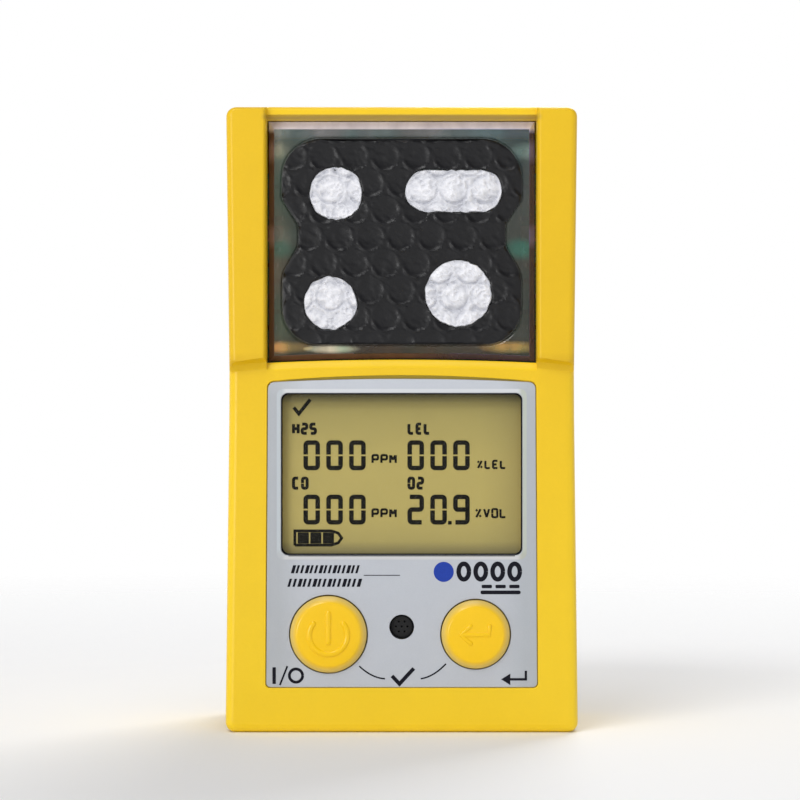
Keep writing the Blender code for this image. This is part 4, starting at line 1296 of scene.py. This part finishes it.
# Strokes of each sign, in shares of its width and height
GLYPHS = {
    "0": [[(0, 0.53), (0, 1), (1, 1), (1, 0.53)], [(0, 0.47), (0, 0), (1, 0), (1, 0.47)]],
    "2": [[(0, 1), (1, 1), (1, 0.5), (0, 0.5), (0, 0), (1, 0)]],
    "9": [[(1, 0.5), (0, 0.5), (0, 1), (1, 1), (1, 0), (0, 0)]],
    "H": [[(0, 0), (0, 1)], [(1, 0), (1, 1)], [(0.12, 0.5), (0.88, 0.5)]],
    "S": [[(1, 1), (0, 1), (0, 0.5), (1, 0.5), (1, 0), (0, 0)]],
    "L": [[(0, 1), (0, 0), (1, 0)]],
    "E": [[(1, 1), (0, 1), (0, 0), (1, 0)], [(0.12, 0.5), (0.8, 0.5)]],
    "C": [[(1, 1), (0, 1), (0, 0), (1, 0)]],
    "O": [[(0, 0.5), (0, 1), (1, 1), (1, 0), (0, 0), (0, 0.45)]],
    "P": [[(0, 0), (0, 1), (1, 1), (1, 0.45), (0.12, 0.45)]],
    "M": [[(0, 0), (0, 1)], [(1, 0), (1, 1)], [(0.1, 0.95), (0.5, 0.4)], [(0.5, 0.4), (0.9, 0.95)]],
    "V": [[(0, 1), (0.5, 0)], [(0.5, 0), (1, 1)]],
    "%": [[(0.08, 0), (0.92, 1)], [(0, 0.95), (0.3, 0.75)], [(0.7, 0.25), (1, 0.05)]],
}


def words(rows):
    """Outlines of words in the display's segment style."""
    outlines = []
    for text, left, low, width, height, gap, stroke in rows:
        z = low + stroke / 2
        for i, sign in enumerate(text):
            x = left + stroke / 2 + (width + gap) * i
            for path in GLYPHS[sign]:
                points = [(x + u * (width - stroke), z + v * (height - stroke)) for u, v in path]
                if len(points) > 2:
                    points = bent(points, stroke * 0.56, 4)
                outlines.append(ribbon(points, stroke))
    return outlines


# Words of the display: text, left, low, width and height of a sign, gap and stroke
DIGITS = (2.9, 5.25, 1.1, 0.8)
NAMES_AND_FIGURES = [
    ("H2S", -19.2, 51.8, 1.35, 2.15, 0.16, 0.54), ("LEL", 1.0, 51.8, 1.25, 2.15, 0.16, 0.52),
    ("CO", -19.2, 42.2, 1.35, 2.3, 0.22, 0.54), ("O2", 1.0, 42.2, 1.35, 2.3, 0.22, 0.54),
    ("000", -17.2, 45.6, *DIGITS), ("000", -17.2, 36.1, *DIGITS), ("000", 1.0, 45.6, *DIGITS),
    ("20", 1.0, 36.1, *DIGITS), ("9", 9.0, 36.1, *DIGITS),
]
UNITS = [
    ("PPM", -5.3, 46.7, 1.35, 1.75, 0.2, 0.4), ("PPM", -5.3, 37.2, 1.35, 1.75, 0.2, 0.4),
    ("%LEL", 13.1, 45.8, 1.15, 1.65, 0.2, 0.38), ("%VOL", 12.8, 37.2, 1.25, 1.8, 0.18, 0.38),
]


def make_display():
    """Lens, glass and film of the display, with its segments."""
    lens = soft_slab(lambda grow: view_outline(LENS_MARGIN + grow), LENS_LOW.y, LENS_HIGH.y,
                     front_round=0.15, back_round=0.1)
    stand_in(place("display_lens_clear", lens), "display_lens", "lens")
    glass = soft_box(LCD_LOW.x, LCD_HIGH.x, LCD_FACE, LCD_HIGH.y, LCD_LOW.z, LCD_HIGH.z, 0.12, 0.3)
    stand_in(place("lcd_panel_glass", glass), "lcd_panel", "lcd")
    border = band(view_outline(0.5), view_outline(-0.22), LENS_HIGH.y + 0.01, LENS_HIGH.y + 0.05)
    extra("lens_border", border, "dark_ink")
    check_mark = ribbon([(-18.9, 56.6), (-18.0, 55.5), (-16.0, 58.0)], 0.62)
    decimal_point = rectangle(8.1, 8.75, 36.1, 36.75, 0.1, 3)
    marks = [check_mark] + words(NAMES_AND_FIGURES) + [decimal_point] + words(UNITS) + battery_sign()
    extra("display_segments", printed(marks, LCD_FACE), "segment")


def battery_sign():
    """Battery gauge: a frame with a pointed end and three bars."""
    low = 32.5
    high = 35.0
    middle_z = (low + high) / 2
    frame_path = [(-18.7, low), (-12.3, low), (-11.1, low + 0.4), (-10.5, middle_z),
                  (-11.1, high - 0.4), (-12.3, high), (-18.7, high), (-18.7, low - 0.05)]
    outlines = [ribbon(frame_path, 0.5)]
    for i in range(3):
        x = -18.2 + 2.2 * i
        outlines.append(rectangle(x, x + 1.95, low + 0.28, high - 0.28, 0.12, 3))
    return outlines


# --------------------------------------------------------- buttons, sounder

def cap_profile(node, radius):
    """Depth and radius from the flange behind the wall up to the crown of the cap."""
    low, high = span(node)
    crown = low.y
    flange_back = high.y - 1.0
    flange_front = flange_back - 0.7
    profile = [(high.y, 1.8), (flange_back, 1.8), (flange_back, radius + CAP_FLANGE),
               (flange_front, radius + CAP_FLANGE), (flange_front, radius)]
    for depth, inset in ((1.05, 0.0), (0.92, 0.02), (0.82, 0.08), (0.24, 0.92), (0.16, 1.05),
                         (0.12, 1.16), (0.1, 1.28)):
        profile.append((crown + depth, radius - inset))
    for i in range(1, 9):
        share = 1 - i / 9
        profile.append((crown + 0.1 * share ** 2, (radius - 1.3) * share + 0.02))
    return profile


def bead(points, half_width, height):
    """Raised line: a flattened round bar lying at the depth of its points."""
    bm = tube(points, half_width, 14, half_width * 0.95)
    depth = points[0][1]
    for vert in bm.verts:
        vert.co.y = depth + (vert.co.y - depth) * height / half_width
    return bm


def power_sign(x, z, y):
    """Raised bar and open ring."""
    bar = [(x, y, z - 1.3), (x, y, z + 3.6)]
    gap = math.radians(52)
    bow = []
    for i in range(33):
        angle = math.pi / 2 + gap + (2 * math.pi - 2 * gap) * i / 32
        bow.append((x + 3.3 * math.cos(angle), y, z - 0.1 + 3.3 * math.sin(angle)))
    return [bead(bar, 0.52, 0.3), bead(bow, 0.5, 0.28)]


def enter_sign(x, z, y):
    """Raised arrow that turns back to the left."""
    shaft = [(x + 2.4, y, z + 1.5), (x + 2.4, y, z), (x - 2.2, y, z)]
    head = [(x - 0.9, y, z + 1.5), (x - 2.6, y, z), (x - 0.9, y, z - 1.5)]
    return [bead(shaft, 0.42, 0.25), bead(head, 0.42, 0.24)]


def make_buttons():
    """Domed caps with their raised signs."""
    for name, sign in zip(BUTTONS, (power_sign, enter_sign)):
        x, z, radius = cap_place(name)
        cap = place(f"{name}_cap", turned(x, z, cap_profile(name, radius), 96))
        crown = span(name)[0].y
        for shape in sign(x, z, crown + 0.06):
            add(cap, shape)
        stand_in(cap, name, "button_plastic")


def make_sounder_screen():
    """Black grommet in the port with a perforated screen at its bottom."""
    low, high = span("sounder_screen")
    lip = LABEL_LOW.y + 0.2
    outer = PORT_RADIUS - 0.02
    inner = PORT_RADIUS - 0.3
    profile = [(high.y, outer), (lip + 0.18, outer), (lip, outer - 0.18), (lip + 0.18, inner),
               (low.y, inner), (low.y, 0.02)]
    screen = place("sounder_screen_grommet", turned(PORT.x, PORT.z, profile))
    centres = [(PORT.x, PORT.z)] + circle(PORT.x, PORT.z, 1.0, 6)
    cut(screen, *[slab(circle(x, z, 0.17, 16), low.y - 0.4, high.y + OVER) for x, z in centres])
    stand_in(screen, "sounder_screen", "black_plastic")


# --------------------------------------------------------------- back side

def make_charge_contacts():
    """Gold-plated pads with a rounded edge and a shallow dish."""
    for side in ("left", "right"):
        node = f"charge_contact_{side}"
        low, high = span(node)
        at = middle(node)
        profile = [(low.y, 2.7), (low.y + 0.85, 2.7), (low.y + 0.85, 1.8)]
        profile += rounded_end(high.y, 1.8, edge=0.3, steps=5)
        profile += [(high.y - 0.05, 1.1), (high.y - 0.08, 0.02)]
        stand_in(place(f"{node}_pad", turned(at.x, at.z, profile)), node, "gold_contact")


def make_rear_label():
    """Rating plate with blank ruled rows."""
    low, high = span("rear_label")
    rings = [at_y(framed(low, high, -edge, 1.3 - edge), y)
             for y, edge in ((low.y, 0.0), (high.y - 0.08, 0.0), (high.y, 0.08))]
    stand_in(place("rear_label_film", loft(rings)), "rear_label", "label")
    left, right, bottom, top = low.x + 1.0, high.x - 1.0, low.z + 1.0, high.z - 1.0
    marks = [ribbon([(left, bottom), (right, bottom), (right, top), (left, top), (left, bottom - 0.1)],
                    0.25)]
    for i in range(7):
        z = low.z + 4.5 + 3.6 * i
        marks.append(rectangle(low.x + 2.2, high.x - 2.2 - 7.0 * (i % 2), z, z + 0.22))
    lines = [slab(mark, high.y - 0.01, high.y + PRINT_LIFT + 0.001 * (i % 2))
             for i, mark in enumerate(marks)]
    extra("rear_label_rules", merge(lines), "dark_ink")


def eye(below, above, bulge, x0, x1):
    """Flat ear about the pin: its root's points below and above, and a round end between them."""
    end = []
    for i in range(17):
        angle = math.pi * i / 16
        end.append((PIN.y + bulge * EYE_RADIUS * math.sin(angle), PIN.z - EYE_RADIUS * math.cos(angle)))
    outline = below + end + above
    return loft([[(x, y, z) for y, z in outline] for x in (x0, x1)])


def pin_hole(half):
    """Hole for the pin through a piece of a half width."""
    return turned_x(PIN.y, PIN.z, [(-half - OVER, PIN_HOLE), (half + OVER, PIN_HOLE)])


def make_clip_plate():
    """Pressed base of the clip: rounded sheet with two ears."""
    front = PLATE_LOW.y
    back = front + PLATE_THICK
    sheet = soft_slab(lambda grow: framed(PLATE_LOW, PLATE_HIGH, grow, 3.0 + grow, 10),
                      front, back, front_round=0.1, back_round=0.35, steps=4)
    plate = place("clip_plate_pressed", sheet)
    below = [(front + 0.5, PIN.z - 4.6), (back + 1.0, PIN.z - 3.4)]
    above = [(back + 1.0, PIN.z + 3.4), (front + 0.5, PIN.z + 4.6)]
    add(plate, eye(below, above, 1, -EAR_OUTER, -EAR_INNER), eye(below, above, 1, EAR_INNER, EAR_OUTER))
    holes = [pin_hole(EAR_OUTER)]
    for node in CLIP_SCREWS:
        at = middle(node)
        profile = [(front - OVER, 1.15), (front + 0.4, 1.15), (back, 2.2), (back + OVER, 3.2)]
        holes.append(turned(at.x, at.z, profile, 48))
    cut(plate, *holes)
    bevel(plate, width=0.16, angle=40)
    stand_in(plate, "clip_plate", "steel")


def lever_path():
    """Side view of the lever's middle line, as y and z: thumb tab, arm, jaw and lip."""
    return bent([(27.6, 99.0), (25.2, 88.0), (23.9, 66.5), (19.25, 59.0), (20.9, 55.6)], 2.0, 8)


def make_clip_lever():
    """Bent sheet lever with ribs on its thumb tab and two pin tabs."""
    half = span("clip_lever")[1].x
    thick = 1.2
    path = lever_path()
    right = [(half - 0.28, 0.0), (half - 0.08, 0.08), (half, 0.28)]
    rings = []
    for x, inset in [(-x, inset) for x, inset in right[::-1]] + right:
        rings.append([(x, y, z) for y, z in ribbon(path, thick - 2 * inset)])
    lever = place("clip_lever_bent", loft(rings))
    below = [(24.3, PIN.z - 3.6)]
    above = [(24.6, PIN.z + 3.6)]
    parts = [eye(below, above, -1, 0.05 - half, -6.2), eye(below, above, -1, 6.2, half - 0.05)]
    start = Vector(path[0])
    down = (Vector(path[1]) - start).normalized()
    outward = Vector((-down.y, down.x))
    for i in range(4):
        at = start + down * (1.6 + 1.7 * i) + outward * (thick / 2 - 0.12)
        parts.append(tube([(1.5 - half, at.x, at.y), (half - 1.5, at.x, at.y)], 0.38, 12, 0.35))
    add(lever, *parts)
    cut(lever, pin_hole(half))
    stand_in(lever, "clip_lever", "steel")


def make_clip_pin():
    """Hinge pin with domed ends."""
    half = span("clip_pin")[1].x
    right = [(9.5, PIN_RADIUS), (9.5, 1.7)]
    right += rounded_end(half, 1.7, edge=0.5, steps=5) + [(half, 0.02)]
    profile = [(-x, r) for x, r in right[::-1]] + right
    stand_in(place("clip_pin_domed", turned_x(PIN.y, PIN.z, profile)), "clip_pin", "steel")


def make_clip_spring():
    """Torsion spring round the pin: one leg on the plate, the other under the thumb tab."""
    wire = 0.45
    radius = 1.8
    half = span("clip_spring")[1].x - wire
    turns = 11
    count = turns * 18
    coil = []
    for i in range(count + 1):
        angle = 2 * math.pi * (turns + 0.25) * i / count - math.pi / 2
        coil.append((-half + 2 * half * i / count, PIN.y + radius * math.cos(angle),
                     PIN.z + radius * math.sin(angle)))
    on_plate = PLATE_LOW.y + PLATE_THICK + wire
    plate_leg = [(-half, on_plate, PIN.z - 9.0), (-half, on_plate + 0.1, PIN.z - 5.0)]
    lever_leg = [(half, PIN.y + 1.55, PIN.z + 5.0), (half, PIN.y + 2.1, PIN.z + 8.5)]
    spring = place("clip_spring_coil", tube(plate_leg + coil + lever_leg, wire, 8, wire))
    shade(spring, 60)
    spring.data.materials.append(FINISH["steel"])
    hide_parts("clip_spring")
    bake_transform(spring)


def make_clip_screws():
    """Countersunk screws that hold the plate."""
    for node in CLIP_SCREWS:
        low, high = span(node)
        profile = [(low.y, 0.3), (low.y + 0.4, 0.8), (PLATE_LOW.y + 0.45, 0.8), (high.y - 0.14, 1.98),
                   (high.y - 0.05, 2.0), (high.y, 1.9)]
        make_screw(node, "flat", profile, recess=0.95, depth=0.8)


# ------------------------------------------------------------ frame, stage

def dress_frame():
    """Give each CAD node that stays its slot's material."""
    for node, obj in frame["nodes"].items():
        obj.data.materials.clear()
        obj.data.materials.append(FINISH[SLOT_OF[node]])


def softbox(name, place_m, aim_m, size, power):
    """White rectangular area light aimed at a point."""
    data = bpy.data.lights.new(name, "AREA")
    data.shape = "RECTANGLE"
    data.size, data.size_y = size
    data.energy = power
    light = bpy.data.objects.new(name, data)
    light.location = place_m
    direction = Vector(aim_m) - Vector(place_m)
    light.rotation_euler = direction.to_track_quat("-Z", "Y").to_euler()
    light.visible_camera = False
    bpy.context.scene.collection.objects.link(light)


def make_stage():
    """Pale floor, pale surroundings and soft lights."""
    bm = bmesh.new()
    bmesh.ops.create_circle(bm, cap_ends=True, segments=128, radius=1.5)
    mesh = bpy.data.meshes.new("floor")
    bm.to_mesh(mesh)
    bm.free()
    floor = bpy.data.objects.new("floor", mesh)
    bpy.context.scene.collection.objects.link(floor)
    paper = Finish("paper", (0.9, 0.9, 0.9), 0.9)
    paper.tint((0.01, 2), (0.985, 0.985, 0.985))
    paper.fade(110.0, 420.0)
    mesh.materials.append(paper.material)
    surround_with_light()
    aim = (0.0, 0.0, HEIGHT * MM / 2)
    softbox("key_light", (-0.4, -0.75, 0.9), aim, (0.5, 0.35), 4.8)
    softbox("front_fill", (-0.55, -0.95, 0.1), (0.0, 0.0, 0.02), (0.3, 0.15), 2.5)
    softbox("top_light", (-0.05, -0.22, 0.75), aim, (0.4, 0.3), 1.0)
    softbox("back_light", (0.3, 0.8, 0.9), aim, (0.6, 0.4), 7.0)


def surround_with_light():
    """Surroundings that are white along the horizon and dimmer overhead."""
    world = bpy.data.worlds.new("surroundings")
    world.use_nodes = True
    tree = world.node_tree
    coords = tree.nodes.new("ShaderNodeTexCoord")
    split = tree.nodes.new("ShaderNodeSeparateXYZ")
    ramp = tree.nodes.new("ShaderNodeValToRGB")
    ramp.color_ramp.elements[0].position = 0.15
    ramp.color_ramp.elements[0].color = (1.0, 1.0, 1.0, 1.0)
    ramp.color_ramp.elements[1].position = 0.3
    ramp.color_ramp.elements[1].color = (0.27, 0.27, 0.28, 1.0)
    tree.links.new(coords.outputs["Generated"], split.inputs[0])
    tree.links.new(split.outputs["Z"], ramp.inputs["Fac"])
    tree.links.new(ramp.outputs["Color"], tree.nodes["Background"].inputs["Color"])
    bpy.context.scene.world = world


def make_camera():
    """Level camera in front of the case, far enough to look nearly square on."""
    data = bpy.data.cameras.new("camera")
    data.lens = 120.0
    data.sensor_width = 36.0
    seen = 0.1396           # width of the picture at the front edge of the case
    depth = seen * data.lens / data.sensor_width - (FRONT_Y + FRONT_ROUND) * MM
    camera = bpy.data.objects.new("camera", data)
    camera.location = (-0.0003, -depth, 0.0579)
    camera.rotation_euler = (math.radians(90), 0, 0)
    bpy.context.scene.collection.objects.link(camera)
    bpy.context.scene.camera = camera
    bpy.context.scene.view_settings.view_transform = "Standard"


def corners(box):
    """A box as plain lists."""
    return [list(box[0]), list(box[1])]


def main():
    """Build every piece, then the stage."""
    make_camera()
    dress_frame()
    make_front_case()
    make_rear_case()
    make_case_screws()
    make_window_cover()
    make_barrier()
    make_alarm_lights()
    make_board_parts()
    make_front_label()
    make_label_print()
    make_display()
    make_buttons()
    make_sounder_screen()
    make_charge_contacts()
    make_rear_label()
    make_clip_plate()
    make_clip_lever()
    make_clip_pin()
    make_clip_spring()
    make_clip_screws()
    make_stage()


main()
